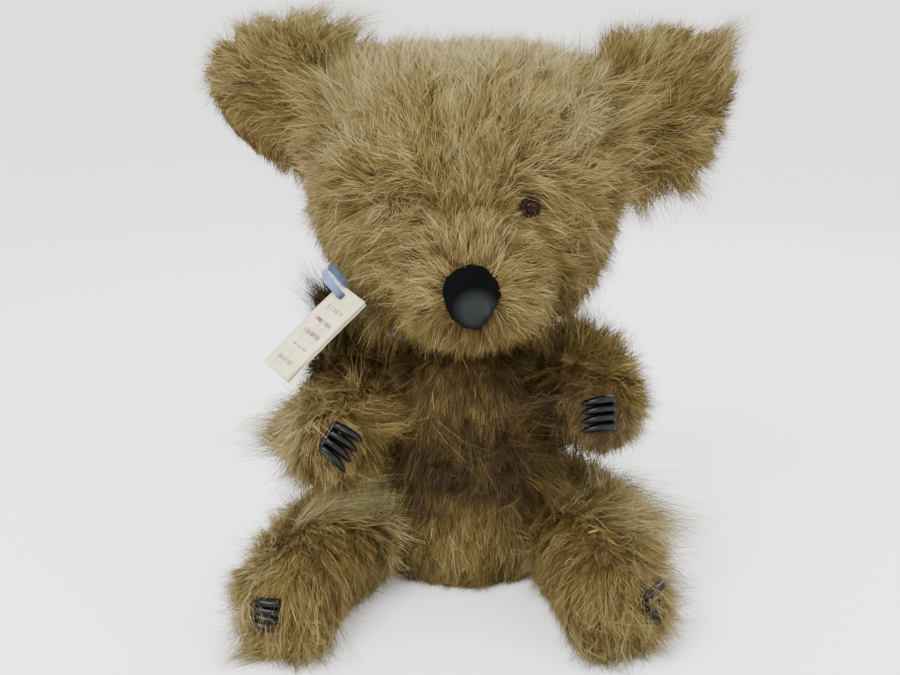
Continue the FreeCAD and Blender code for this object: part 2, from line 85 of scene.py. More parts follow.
# --- mesh helpers --------------------------------------------------------------------------------
def unit(vectors):
    """Each row scaled to length one."""
    return vectors / np.maximum(np.linalg.norm(vectors, axis=-1, keepdims=True), 1e-9)


def new_object(name, data):
    """An object linked to the scene."""
    item = bpy.data.objects.new(name, data)
    scene.collection.objects.link(item)
    return item


def coordinates(mesh):
    """A mesh's vertices as an array, in millimetres."""
    flat = np.empty(len(mesh.vertices) * 3, np.float32)
    mesh.vertices.foreach_get("co", flat)
    return flat.reshape(-1, 3).astype(float) / MM


def put_coordinates(mesh, points):
    """Move a mesh's vertices to an array of points in millimetres."""
    mesh.vertices.foreach_set("co", (points * MM).astype(np.float32).ravel())
    mesh.update()


def triangles(mesh):
    """A mesh's triangles as an array of vertex numbers."""
    mesh.calc_loop_triangles()
    flat = np.empty(len(mesh.loop_triangles) * 3, np.int32)
    mesh.loop_triangles.foreach_get("vertices", flat)
    return flat.reshape(-1, 3)


def normals(mesh):
    """A mesh's vertex normals as an array."""
    flat = np.empty(len(mesh.vertices) * 3, np.float32)
    mesh.vertex_normals.foreach_get("vector", flat)
    return flat.reshape(-1, 3).astype(float)


def baked(item):
    """Replace an object's mesh by its evaluated one and drop the modifiers."""
    graph = bpy.context.evaluated_depsgraph_get()
    mesh = bpy.data.meshes.new_from_object(item.evaluated_get(graph))
    item.modifiers.clear()
    item.data = mesh
    return mesh


def shade_smooth(mesh):
    """Smooth shading on every face."""
    mesh.polygons.foreach_set("use_smooth", np.ones(len(mesh.polygons), bool))


def row_faces(rows, per, start=0, closed=True, flip=False):
    """Four-sided faces between rows of points, so many to the row; closed rows join end to end."""
    faces = []
    for row in range(rows - 1):
        for column in range(per if closed else per - 1):
            first = start + row * per + column
            second = start + row * per + (column + 1) % per
            face = (first, second, second + per, first + per)
            faces.append((face[0], face[3], face[2], face[1]) if flip else face)
    return faces


def end_faces(rows, per, flip=False):
    """The two faces that close the ends of a tube of closed rows."""
    last = (rows - 1) * per
    first, final = tuple(range(per)), tuple(range(last, last + per))
    return [first, final[::-1]] if flip else [first[::-1], final]


def welded(mesh, distance):
    """Join a mesh's vertices that lie within a distance in metres."""
    work = bmesh.new()
    work.from_mesh(mesh)
    bmesh.ops.remove_doubles(work, verts=work.verts, dist=distance)
    work.to_mesh(mesh)
    work.free()


def dress(item, material):
    """Give an object one material and no other."""
    item.data.materials.clear()
    item.data.materials.append(material)


def declare(item, body, slot, *replaced):
    """The body a piece rides on, and the CAD nodes it stands for; the slot argument is not used."""
    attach(item, body)
    if replaced:
        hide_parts(*replaced)


def mesh_object(name, points, faces, smooth=True):
    """A mesh object from points in millimetres and lists of vertex numbers."""
    mesh = bpy.data.meshes.new(name)
    mesh.from_pydata([tuple(point) for point in np.asarray(points) * MM], [],
                     [list(face) for face in faces])
    mesh.validate()
    if smooth:
        shade_smooth(mesh)
    return new_object(name, mesh)


# --- materials -----------------------------------------------------------------------------------
class Nodes:
    """A small builder for one material's node tree."""

    def __init__(self, name):
        self.material = bpy.data.materials.new(name)
        self.material.use_nodes = True
        self.tree = self.material.node_tree
        self.shader = next(node for node in self.tree.nodes if node.type == "BSDF_PRINCIPLED")

    def node(self, kind, inputs=None, **settings):
        """A node with its settings, and inputs that are values or sockets."""
        item = self.tree.nodes.new(kind)
        for key, value in settings.items():
            setattr(item, key, value)
        for key, value in (inputs or {}).items():
            self.feed(item.inputs[key], value)
        return item

    def feed(self, socket, value):
        """Give an input a value, or a link from another node's output."""
        if isinstance(value, bpy.types.NodeSocket):
            self.tree.links.new(value, socket)
        else:
            socket.default_value = value

    def set(self, **values):
        """Inputs of the main shader, with underscores for spaces."""
        for key, value in values.items():
            self.feed(self.shader.inputs[key.replace("_", " ")], value)
        return self.material

    def ramp(self, factor, stops, kind="LINEAR"):
        """A colour ramp through (place, colour) stops."""
        item = self.node("ShaderNodeValToRGB", {"Fac": factor})
        item.color_ramp.interpolation = kind
        while len(item.color_ramp.elements) < len(stops):
            item.color_ramp.elements.new(0.5)
        for element, (place, colour) in zip(item.color_ramp.elements, stops):
            element.position = place
            element.color = linear(colour)
        return item.outputs["Color"]

    def place(self):
        """The object's own coordinates."""
        return self.node("ShaderNodeTexCoord").outputs["Object"]

    def noise(self, scale, detail=3.0, stretch=(1.0, 1.0, 1.0)):
        """Noise in object space."""
        mapped = self.node("ShaderNodeMapping", {"Vector": self.place(), "Scale": stretch})
        return self.node("ShaderNodeTexNoise", {"Vector": mapped.outputs["Vector"], "Scale": scale,
                                                "Detail": detail}).outputs["Fac"]

    def mix(self, factor, first, second, blend="MIX"):
        """Two colours mixed."""
        item = self.node("ShaderNodeMix", data_type="RGBA", blend_type=blend)
        for socket, value in ((item.inputs["Factor"], factor), (item.inputs[6], first),
                              (item.inputs[7], second)):
            self.feed(socket, value)
        return item.outputs[2]

    def span(self, value, low, high):
        """A 0 to 1 value stretched to a range."""
        return self.node("ShaderNodeMapRange", {"Value": value, "To Min": low, "To Max": high}).outputs[0]

    def bump(self, height, distance, strength=1.0):
        """A bump normal from a height, its depth in metres."""
        return self.node("ShaderNodeBump", {"Height": height, "Distance": distance,
                                            "Strength": strength}).outputs["Normal"]


def linear(colour):
    """An sRGB colour of 0 to 255 as linear RGBA."""
    parts = [value / 255 for value in colour]
    return [((p + 0.055) / 1.055) ** 2.4 if p > 0.04045 else p / 12.92 for p in parts] + [1.0]


def fur_material():
    """Strands: tone runs from dark brown to pale cream across u, root to tip along v."""
    m = Nodes("fur")
    place = m.node("ShaderNodeUVMap", uv_map="OFBake")
    split = m.node("ShaderNodeSeparateXYZ", {"Vector": place.outputs["UV"]})
    tone = m.ramp(split.outputs["X"], FUR_TONES)
    depth = m.ramp(split.outputs["Y"], FUR_DEPTH)
    colour = m.mix(1.0, tone, depth, "MULTIPLY")
    return m.set(Base_Color=colour, Roughness=0.54, Specular_IOR_Level=0.18)


FUR_TONES = [
    (0.00, (34, 22, 5)),
    (0.25, (63, 47, 17)),
    (0.50, (100, 84, 43)),
    (0.75, (131, 117, 72)),
    (1.00, (176, 167, 126)),
]
FUR_DEPTH = [
    (0.00, (140, 128, 116)),
    (0.35, (205, 197, 188)),
    (0.75, (245, 243, 238)),
    (1.00, (255, 255, 255)),
]


def hide_material(name, light, dark):
    """The hide and dense underwool seen between the locks."""
    m = Nodes(name)
    wool = m.noise(900.0, 4.0, stretch=(1.0, 1.0, 0.35))
    patch = m.noise(45.0, 2.0)
    colour = m.mix(m.span(patch, 0.25, 0.75), m.ramp(wool, [(0.3, dark), (0.7, light)]),
                   linear(dark))
    return m.set(Base_Color=colour, Roughness=0.9, Specular_IOR_Level=0.1,
                 Normal=m.bump(wool, 0.0012, 0.9))


fur = fur_material()
underwool = hide_material("underwool", (86, 68, 38), (42, 29, 13))

# --- light and floor -----------------------------------------------------------------------------
WORLD_STRENGTH = 2.3
world = bpy.data.worlds.new("world")
world.use_nodes = True
backdrop = world.node_tree.nodes["Background"].inputs
backdrop["Color"].default_value = (1.0, 1.0, 1.0, 1.0)
backdrop["Strength"].default_value = WORLD_STRENGTH
scene.world = world


def softbox(name, place, aim, size, power):
    """A square area light aimed at a point."""
    light = bpy.data.lights.new(name, "AREA")
    light.shape = "SQUARE"
    light.size = size
    light.energy = power
    item = new_object(name, light)
    item.location = place
    item.rotation_euler = (Vector(aim) - Vector(place)).to_track_quat("-Z", "Y").to_euler()


softbox("key_light", (-0.5, -0.9, 1.1), (0, 0, 0.15), 0.8, 30.0)
softbox("fill_light", (0.9, -0.8, 0.6), (0, 0, 0.15), 0.9, 7.0)
softbox("rim_light", (0.3, 0.9, 0.9), (0, 0, 0.2), 0.7, 8.0)

FLOOR_HALF = 3000
floor_corners = [(x * FLOOR_HALF, y * FLOOR_HALF, 0) for x, y in ((-1, -1), (1, -1), (1, 1), (-1, 1))]
floor = mesh_object("floor", floor_corners, [(0, 1, 2, 3)], smooth=False)
floor_look = Nodes("floor")
floor.data.materials.append(floor_look.set(
    Base_Color=floor_look.ramp(floor_look.noise(6.0), [(0.3, (250, 250, 250)), (0.7, (253, 253, 253))]),
    Roughness=0.85))


# --- stuffed hides -------------------------------------------------------------------------------
SWELL = 2.4     # from the stuffing's face out to the hide's face
VOXEL = 0.005
WELD = 1e-6
PRESSURE = 4.0
CLOTH_FRAMES = 20
CAP = 2.5       # furthest that the simulated hide may move


def stuffed(body, keep):
    """A hide blown up over its stuffing: voxel remesh, cloth under pressure, capped, then subdivided."""
    item = new_object(f"{body}_hide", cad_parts[f"{body}_stuffing"].data.copy())
    welded(item.data, WELD)
    remesh = item.modifiers.new("remesh", "REMESH")
    remesh.mode = "VOXEL"
    remesh.voxel_size = VOXEL
    mesh = baked(item)
    start = coordinates(mesh)
    outward = normals(mesh)
    moved = start
    cloth = item.modifiers.new("cloth", "CLOTH")
    cloth.settings.use_pressure = True
    cloth.settings.uniform_pressure_force = PRESSURE
    cloth.settings.effector_weights.gravity = 0.0
    cloth.point_cache.frame_start = 1
    cloth.point_cache.frame_end = CLOTH_FRAMES
    for step in range(1, CLOTH_FRAMES + 1):
        scene.frame_set(step)
    mesh = baked(item)
    scene.frame_set(1)
    drift = coordinates(mesh) - start
    far = np.linalg.norm(drift, axis=1, keepdims=True)
    moved = start + drift * np.minimum(1.0, CAP / np.maximum(far, 1e-6))
    put_coordinates(mesh, keep(moved + outward * SWELL))
    smooth = item.modifiers.new("smooth", "CORRECTIVE_SMOOTH")
    smooth.use_only_smooth = True
    smooth.iterations = 3
    subdivide = item.modifiers.new("subdivide", "SUBSURF")
    subdivide.levels = 1
    mesh = baked(item)
    put_coordinates(mesh, keep(coordinates(mesh)))
    shade_smooth(mesh)
    dress(item, underwool)
    declare(item, body, "fur_hide", f"{body}_skin", f"{body}_stuffing")
    return item


def inside(low=None, high=None):
    """A limit that holds points within a box; None leaves a side open."""
    low = [-1e6 if value is None else value for value in low or (None,) * 3]
    high = [1e6 if value is None else value for value in high or (None,) * 3]
    return lambda points: np.clip(points, low, high)


FLAT = 40.0      # the torso's flat sides, where the arms and legs turn
NECK = 138.0     # the torso's flat top, where the head turns
GAP = 0.8
LOWEST = 0.2     # just clear of the floor
hides = {
    "torso": stuffed("torso", inside((-FLAT, None, LOWEST), (FLAT, None, NECK))),
    "head": stuffed("head", inside((None, None, NECK + GAP))),
}
for kind in ("arm", "leg"):
    for side, limit in (("left", inside((FLAT + GAP, None, LOWEST))),
                        ("right", inside((None, None, LOWEST), (-FLAT - GAP, None, None)))):
        hides[f"{kind}_{side}"] = stuffed(f"{kind}_{side}", limit)


# --- ears ----------------------------------------------------------------------------------------
EAR_VOXEL = 0.0025


def ear_hide(side):
    """An ear: a folded double hide, thick at its root and drawn in to a soft edge."""
    item = new_object(f"ear_{side}_hide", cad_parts[f"ear_{side}"].data.copy())
    remesh = item.modifiers.new("remesh", "REMESH")
    remesh.mode = "VOXEL"
    remesh.voxel_size = EAR_VOXEL
    shade_smooth(baked(item))
    dress(item, underwool)
    declare(item, "head", "ear_hide", f"ear_{side}")
    return item


for side in ("left", "right"):
    hides[f"ear_{side}"] = ear_hide(side)

# --- swing tag and its ribbon, in millimetres ----------------------------------------------------
RIBBON_ROUTE = [
    (-31, -8, 131), (-42, -15, 139), (-53, -25, 153), (-63, -35, 168), (-70, -44, 179), (-71, -55, 176),
    (-64.7, -57.4, 167.6), (-60.5, -45, 160), (-50, -32, 150), (-40, -25, 140), (-29, -20, 131),
]
RIBBON_LIES = np.array([0.76, 0.0, 0.65])  # the way its width runs
RIBBON_WIDTH = 4.0
RIBBON_THICK = 0.3


def nurbs_line(points):
    """Points along the smooth line of a route, in millimetres."""
    curve = bpy.data.curves.new("route", "CURVE")
    curve.dimensions = "3D"
    curve.resolution_u = 12
    spline = curve.splines.new("NURBS")
    spline.points.add(len(points) - 1)
    for target, point in zip(spline.points, points):
        target.co = (*(value * MM for value in point), 1.0)
    spline.order_u = 3
    spline.use_endpoint_u = True
    item = bpy.data.objects.new("route", curve)
    line = coordinates(bpy.data.meshes.new_from_object(item))
    bpy.data.objects.remove(item)
    return line


ribbon_line = nurbs_line(RIBBON_ROUTE)
ribbon_along = unit(np.gradient(ribbon_line, axis=0))
ribbon_across = unit(RIBBON_LIES - ribbon_along * (ribbon_along @ RIBBON_LIES)[:, None])
ribbon_face = np.cross(ribbon_along, ribbon_across)
RIBBON_COLUMNS = 6
RIBBON_CUP = 0.35  # how far its edges curl
ribbon_ring = [(column, -1) for column in range(RIBBON_COLUMNS + 1)]
ribbon_ring += [(column, 1) for column in reversed(range(RIBBON_COLUMNS + 1))]
ribbon_points = []
for centre, across, face in zip(ribbon_line, ribbon_across, ribbon_face):
    for column, side in ribbon_ring:
        part = 2 * column / RIBBON_COLUMNS - 1
        ribbon_points.append(centre + across * part * RIBBON_WIDTH / 2
                             + face * (RIBBON_CUP * part ** 2 + side * RIBBON_THICK / 2))
ribbon_size = len(ribbon_line), len(ribbon_ring)
ribbon = mesh_object("tag_ribbon_satin", ribbon_points, row_faces(*ribbon_size) + end_faces(*ribbon_size))
satin = Nodes("ribbon_satin")
ribs = satin.node("ShaderNodeTexWave", {"Scale": 700.0, "Distortion": 0.4}).outputs["Fac"]
satin.set(Base_Color=satin.mix(satin.span(satin.noise(160.0, 3.0), 0.1, 0.9), linear((54, 72, 110)),
                               linear((86, 106, 146))),
          Roughness=satin.span(ribs, 0.26, 0.4), Specular_IOR_Level=0.6, Sheen_Weight=0.25,
          Normal=satin.bump(ribs, 0.00006, 0.6))
ribbon.data.materials.append(satin.material)

HANG = Vector((-37, -23, -34)).normalized()
ACROSS = Vector((13, -10, -7))
ACROSS = (ACROSS - HANG * ACROSS.dot(HANG)).normalized()
FACE = HANG.cross(ACROSS)
TAG_HOLE = Vector((-63, -52, 164))
TAG_LENGTH, TAG_WIDTH, TAG_CARD = 56.0, 18.0, 0.5
TAG_SPREAD = math.radians(7.0)  # between the two leaves
TAG_CLIP = 4.0                  # cut from one corner
HOLE_IN, HOLE_RADIUS = 5.0, 2.2
CREASE_AT = 33.0
tag_corner = TAG_HOLE - (HANG + ACROSS) * HOLE_IN


def leaf(name, shift, turn, clipped):
    """One leaf of the folded card: a bent sheet with a creased line, a clipped corner and its hole."""
    rows, columns = 56, 18
    points, cells = [], []
    for row in range(rows + 1):
        for column in range(columns + 1):
            u, v = TAG_LENGTH * row / rows, TAG_WIDTH * column / columns
            if clipped and u + v < TAG_CLIP:
                u, v = u + (TAG_CLIP - u - v) / 2, v + (TAG_CLIP - u - v) / 2
            bend = 0.9 * math.sin(math.pi * u / TAG_LENGTH) - 0.35 * max(0.0, 1 - abs(u - CREASE_AT) / 3.0)
            bend += 0.15 * math.sin(u * 0.55) * v / TAG_WIDTH
            w = shift + bend * 0.8
            v, w = v * math.cos(turn), w - v * math.sin(turn)
            points.append(tag_corner + HANG * u + ACROSS * v + FACE * w)
    for row in range(rows):
        for column in range(columns):
            middle = Vector((row + 0.5, column + 0.5)) - Vector((HOLE_IN, HOLE_IN))
            if middle.length > HOLE_RADIUS:
                first = row * (columns + 1) + column
                cells.append((first, first + 1, first + columns + 2, first + columns + 1))
    item = mesh_object(name, points, cells)
    layer = item.data.uv_layers.new(name="OFBake")
    width = columns + 1
    for corner in item.data.loops:
        number = corner.vertex_index
        layer.data[corner.index].uv = ((number // width) / rows, (number % width) / columns)
    card = item.modifiers.new("card", "SOLIDIFY")
    card.thickness = TAG_CARD * MM
    card.offset = 1.0
    baked(item)
    dress(item, card_look.material)
    declare(item, "torso", "tag_card", name.replace("_card", "_leaf"))
    return item


card_look = Nodes("tag_card")
card_place = card_look.node("ShaderNodeUVMap", uv_map="OFBake").outputs["UV"]
card_split = card_look.node("ShaderNodeSeparateXYZ", {"Vector": card_place})
stain = card_look.node("ShaderNodeTexNoise", {"Vector": card_place, "Scale": 5.0,
                                              "Detail": 5.0}).outputs["Fac"]
card_base = card_look.ramp(stain, [(0.35, (176, 166, 124)), (0.55, (200, 192, 156)),
                                   (0.8, (206, 199, 168))])
# generic print: five short rows of broken purple marks that spell nothing
BLANK, MARKED = (0, 0, 0), (255, 255, 255)
rows_of_print = card_look.ramp(card_split.outputs["X"], [(0.0, BLANK)] + [
    stop for start, end in ((0.21, 0.255), (0.36, 0.405), (0.51, 0.555), (0.68, 0.70), (0.84, 0.885))
    for stop in ((start, MARKED), (end, BLANK))], "CONSTANT")
span_of_print = card_look.ramp(card_split.outputs["Y"], [(0.0, BLANK), (0.22, MARKED), (0.80, BLANK)],
                               "CONSTANT")
dashes = card_look.node("ShaderNodeTexNoise", {"Vector": card_look.node("ShaderNodeMapping", {
    "Vector": card_place, "Scale": (6.0, 46.0, 1.0)}).outputs["Vector"], "Scale": 1.0}).outputs["Fac"]
broken = card_look.ramp(dashes, [(0.0, BLANK), (0.47, MARKED)], "CONSTANT")
ink = card_look.mix(1.0, card_look.mix(1.0, rows_of_print, span_of_print, "MULTIPLY"), broken, "MULTIPLY")
card_look.set(Base_Color=card_look.mix(ink, card_base, linear((96, 40, 66))), Roughness=0.62,
              Specular_IOR_Level=0.3,
              Normal=card_look.bump(card_look.noise(500.0, 4.0), 0.00008, 0.6))
leaves = [leaf("tag_front_card", 0.2, 0.0, True), leaf("tag_back_card", -0.7, TAG_SPREAD, False)]
declare(ribbon, "torso", "ribbon_satin", "tag_ribbon")

# --- claws ---------------------------------------------------------------------------------------
TIPS = {
    # limb: centre of the paw's end and its radius
    "arm_left": ((68.5, -66.7, 107.9), 19.0), "arm_right": ((-68.9, -63.9, 92.5), 19.0),
    "leg_left": ((69.1, -104.2, 24.1), 24.0), "leg_right": ((-84.3, -101.1, 24.1), 24.0),
}
COMBS = {
    # limb: outward normal of the plate, and the way that the claws point
    "arm_left": ((0.10, -1.0, 0.25), (-1.0, 0.0, 0.0)),
    "arm_right": ((0.15, -1.0, 0.30), (0.85, 0.0, -0.5)),
    "leg_left": ((0.70, -0.75, 0.10), (0.7, 0.7, 0.0)),
    "leg_right": ((-0.25, -1.0, 0.0), (-1.0, 0.0, 0.1)),
}
FAN = {"arm_left": 0.0, "arm_right": 6.0, "leg_left": 4.0, "leg_right": -3.0}    # degrees between claws
SWEEP = {"arm_left": -2.8, "arm_right": 3.2, "leg_left": -1.5, "leg_right": 1.5}  # aside at the tip, mm
CLAW_RINGS = 18
CLAW_SIDES = 12
CLAW_START, CLAW_REACH = -2.0, 17.5  # from the comb's seat, along the claw
CLAW_THICK = 2.75
CLAW_PITCH = 4.9
BAR_HALF = 10.0


def claw_form(across, fan, sweep):
    """One claw's points and faces: a ridged horn that arches over, sweeps aside and thins to its tip."""
    points = []
    for ring in range(CLAW_RINGS):
        part = ring / (CLAW_RINGS - 1)
        arch = math.pi * (0.12 + 0.80 * part)
        reach = CLAW_START + CLAW_REACH * part
        height = 1.6 + 3.3 * math.sin(arch)
        thick = CLAW_THICK * (1 - part ** 3.4) ** 0.6 + 0.12
        slant = math.cos(arch) * 0.5
        for side in range(CLAW_SIDES):
            angle = 2 * math.pi * side / CLAW_SIDES
            ridge = 1 + 0.16 * max(0.0, math.sin(angle)) ** 6
            x = across + math.sin(fan) * reach + sweep * part ** 2 + thick * 0.88 * math.cos(angle)
            z = height + thick * ridge * math.sin(angle)
            points.append((x, reach - slant * thick * math.sin(angle), z))
    return points, row_faces(CLAW_RINGS, CLAW_SIDES) + end_faces(CLAW_RINGS, CLAW_SIDES)


def comb_bar():
    """The bar that the claws grow from: a low half-round moulding, closed at both ends."""
    points = []
    stations, around = 17, 10
    for station in range(stations):
        part = 2 * station / (stations - 1) - 1
        swell = (1 - abs(part) ** 5) ** 0.5 * 0.96 + 0.04
        for side in range(around):
            angle = 2 * math.pi * side / around
            points.append((part * BAR_HALF, -2.4 + 2.3 * swell * math.cos(angle),
                           1.3 + 1.5 * swell * math.sin(angle)))
    return points, row_faces(stations, around, flip=True) + end_faces(stations, around, flip=True)


claw_look = Nodes("claw_plastic")
wear = claw_look.noise(260.0, 4.0)
claw_look.set(
    Base_Color=claw_look.ramp(wear, [(0.35, (4, 4, 5)), (0.75, (10, 11, 13))]),
    Roughness=claw_look.span(wear, 0.14, 0.34), Specular_IOR_Level=0.16,
    Normal=claw_look.bump(claw_look.noise(90.0, 2.0), 0.0004, 0.5))
CLAW_SHOWN = 0.9  # the pile hides the rim of each comb
COMB_CLEAR = 0.3  # from the hide to the comb's seat
comb_place = {}
for limb, (normal, heading) in COMBS.items():
    normal = Vector(normal).normalized()
    heading = Vector(heading)
    heading = (heading - normal * heading.dot(normal)).normalized()
    centre, radius = TIPS[limb]
    across = heading.cross(normal)
    place = Matrix((across, heading, normal)).transposed()
    seat = Vector(centre) + normal * (radius + COMB_CLEAR)
    comb_place[limb] = (np.array(seat), np.array(heading), np.array(normal), np.array(across))
    points, faces = comb_bar()
    for index in range(4):
        from_middle = index - 1.5
        fan = math.radians(from_middle * FAN[limb])
        more, rings = claw_form(from_middle * CLAW_PITCH, fan, SWEEP[limb])
        faces += [tuple(corner + len(points) for corner in ring) for ring in rings]
        points += more
    points = [seat + place @ (Vector(point) * CLAW_SHOWN) for point in points]
    comb = mesh_object(f"{limb}_claw_comb", points, faces)
    dress(comb, claw_look.material)
    declare(comb, limb, "claw_plastic", f"{limb}_claws")


def raise_paw(limb):
    """Fill the paw's hide out to the underside of its comb."""
    seat, heading, normal, across = comb_place[limb]
    mesh = hides[limb].data
    spots = coordinates(mesh)
    away = spots - seat
    high, ahead, aside = away @ normal, away @ heading, away @ across
    share = np.exp(-(aside / 13.0) ** 4 - ((ahead - 2.0) / 11.0) ** 4)
    share *= np.clip((high + 13.0) / 5.0, 0.0, 1.0) * (high < -COMB_CLEAR)
    put_coordinates(mesh, spots + (share * (-COMB_CLEAR - high))[:, None] * normal)


for limb in COMBS:
    raise_paw(limb)

# --- nose ----------------------------------------------------------------------------------------
nose_low, nose_high = (np.array(corner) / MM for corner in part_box("nose_leather"))
NOSE = np.array([(nose_low[0] + nose_high[0]) / 2, nose_low[1] + 9.0, (nose_low[2] + nose_high[2]) / 2])
NOSE_RINGS = 26
NOSE_SPOKES = 72
NOSE_DEPTH = 8.6
NOSE_LEATHER = 0.0012


def nose_outline(angle):
    """The nose's edge from its centre: broad above and drawn in to a blunt foot."""
    high = math.sin(angle)
    wide = 13.8 * (1 + 0.05 * high) if high > 0 else 13.8 * (1 + 0.20 * high)
    tall = 15.2 if high > 0 else 16.4
    return 1 / math.hypot(math.cos(angle) / wide, high / tall)


nose_points = [(NOSE[0], NOSE[1] - 8.0, NOSE[2])]
for ring in range(1, NOSE_RINGS + 1):
    part = ring / NOSE_RINGS
    for spoke in range(NOSE_SPOKES):
        angle = 2 * math.pi * spoke / NOSE_SPOKES
        pucker = 0.55 * math.sin(angle * 13 + 0.9 * math.sin(angle * 3)) * part ** 5
        rim = nose_outline(angle) * (1 + 0.03 * pucker + 0.025 * math.sin(angle * 5 + 1.0) * part ** 3)
        x, z = part * rim * math.cos(angle), part * rim * math.sin(angle)
        crown = math.sqrt(max(0.0, 1 - (part * 0.985) ** 2))
        flap = 1.0 / (1 + math.exp((math.hypot(x - 2.2, z + 5.0) - 9.0) * 1.5)) * (1 - part ** 8)
        depth = NOSE_DEPTH * crown - 1.1 * flap + 0.5 * pucker
        nose_points.append((NOSE[0] + x, NOSE[1] - depth + 1.2 * part ** 4, NOSE[2] + z))
# the leather turns in behind its rim: share of the rim's width, and how far behind it
NOSE_SKIRT = [(1.0, 1.4), (0.97, 3.0), (0.90, 5.0), (0.80, 7.5)]
rim_points = np.array(nose_points[-NOSE_SPOKES:])
for share, behind in NOSE_SKIRT:
    turned_in = NOSE + (rim_points - NOSE) * (share, 1, share) + (0, behind, 0)
    nose_points += [tuple(point) for point in turned_in]
nose_faces = [(0, 1 + spoke, 1 + (spoke + 1) % NOSE_SPOKES) for spoke in range(NOSE_SPOKES)]
nose_faces += row_faces(NOSE_RINGS + len(NOSE_SKIRT), NOSE_SPOKES, start=1, flip=True)
nose = mesh_object("nose", nose_points, nose_faces)
nose.modifiers.new("leather", "SOLIDIFY").thickness = NOSE_LEATHER
shade_smooth(baked(nose))
nose_look = Nodes("nose_leather")
grain = nose_look.node("ShaderNodeTexVoronoi", {"Scale": 1500.0,
                                                "Vector": nose_look.place()}).outputs["Distance"]
NOSE_FLAP = (0.0052, 0.0, 0.1665)  # middle of the smooth flap, in the head's front plane
flat_place = nose_look.node("ShaderNodeVectorMath", {0: nose_look.place(), 1: (1.0, 0.0, 1.0)},
                            operation="MULTIPLY").outputs["Vector"]
from_flap = nose_look.node("ShaderNodeVectorMath", {0: flat_place, 1: NOSE_FLAP},
                           operation="DISTANCE").outputs["Value"]
# The smooth flap is glossier leather, and its lighter slate colour, clouded by noise, is a painted sheen;
# the rest of the nose is matte black.
flap_gloss_and_painted_sheen = nose_look.node("ShaderNodeMapRange", {"Value": from_flap, "From Min": 0.0060,
                                             "From Max": 0.0120, "To Min": 1.0, "To Max": 0.0}).outputs[0]
cloud = nose_look.noise(120.0, 3.0)
nose_look.set(
    Base_Color=nose_look.mix(flap_gloss_and_painted_sheen, linear((2, 2, 2)),
                             nose_look.ramp(cloud, [(0.3, (5, 8, 9)), (0.7, (13, 18, 21))])),
    Roughness=nose_look.span(flap_gloss_and_painted_sheen, 0.9, 0.32), Specular_IOR_Level=nose_look.span(flap_gloss_and_painted_sheen, 0.05, 0.17),
    Normal=nose_look.bump(grain, 0.0002, 0.5))
dress(nose, nose_look.material)
declare(nose, "head", "nose_leather", "nose_leather", "nose_pad")

# --- eyes ----------------------------------------------------------------------------------------
EYE_SHOWN = {"left": 0.60, "right": 0.42}  # the pile hides the rim, so each glass is drawn smaller
EYE_WELD = 2e-5
IRIS_REACH = 4.4
eye_look = Nodes("eye_glass")
spot = eye_look.node("ShaderNodeAttribute", attribute_name="iris").outputs["Fac"]
eye_look.set(
    Base_Color=eye_look.ramp(spot, [(0.0, (3, 1, 1)), (0.30, (6, 2, 2)), (0.42, (32, 8, 5)),
                                    (0.66, (40, 12, 7)), (0.80, (8, 3, 2)), (1.0, (4, 2, 1))]),
    Roughness=0.08, Specular_IOR_Level=0.10)
for side in ("left", "right"):
    eye = new_object(f"eye_{side}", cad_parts[f"eye_glass_{side}"].data.copy())
    welded(eye.data, EYE_WELD)
    shade_smooth(eye.data)
    spots = coordinates(eye.data)
    middle = spots.mean(axis=0)
    spots = middle + (spots - middle) * EYE_SHOWN[side]
    put_coordinates(eye.data, spots)
    front = spots[spots[:, 1].argmin()]
    axis = unit(front - middle)
    away = spots - front
    away -= (away @ axis)[:, None] * axis
    from_axis = np.clip(np.linalg.norm(away, axis=1) / IRIS_REACH, 0, 1)
    ring = eye.data.attributes.new("iris", "FLOAT", "POINT")
    ring.data.foreach_set("value", from_axis.astype(np.float32))
    dress(eye, eye_look.material)
    declare(eye, "head", "eye_glass", f"eye_glass_{side}")

# --- hidden hardware -----------------------------------------------------------------------------
board = Nodes("hardboard")
fibre = board.noise(400.0, 5.0, stretch=(1.0, 0.3, 1.0))
board.set(Base_Color=board.ramp(fibre, [(0.3, (88, 58, 34)), (0.7, (122, 84, 52))]), Roughness=0.8,
          Normal=board.bump(fibre, 0.0002))
steel = Nodes("steel")
brushed = steel.noise(700.0, 3.0, stretch=(1.0, 1.0, 0.1))
steel.set(Base_Color=steel.ramp(brushed, [(0.3, (150, 150, 148)), (0.7, (184, 184, 180))]), Metallic=1.0,
          Roughness=steel.span(brushed, 0.28, 0.45))
blackened = Nodes("blackened_steel")
scale = blackened.noise(600.0, 3.0)
blackened.set(Base_Color=blackened.ramp(scale, [(0.3, (14, 9, 6)), (0.7, (26, 17, 11))]), Roughness=0.8,
              Specular_IOR_Level=0.1, Normal=blackened.bump(scale, 0.0001))
for name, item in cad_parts.items():
    look = board if "_disc_" in name else blackened if "shank" in name else steel if any(
        word in name for word in ("washer", "split_pin")) else None
    if look:
        dress(item, look.material)

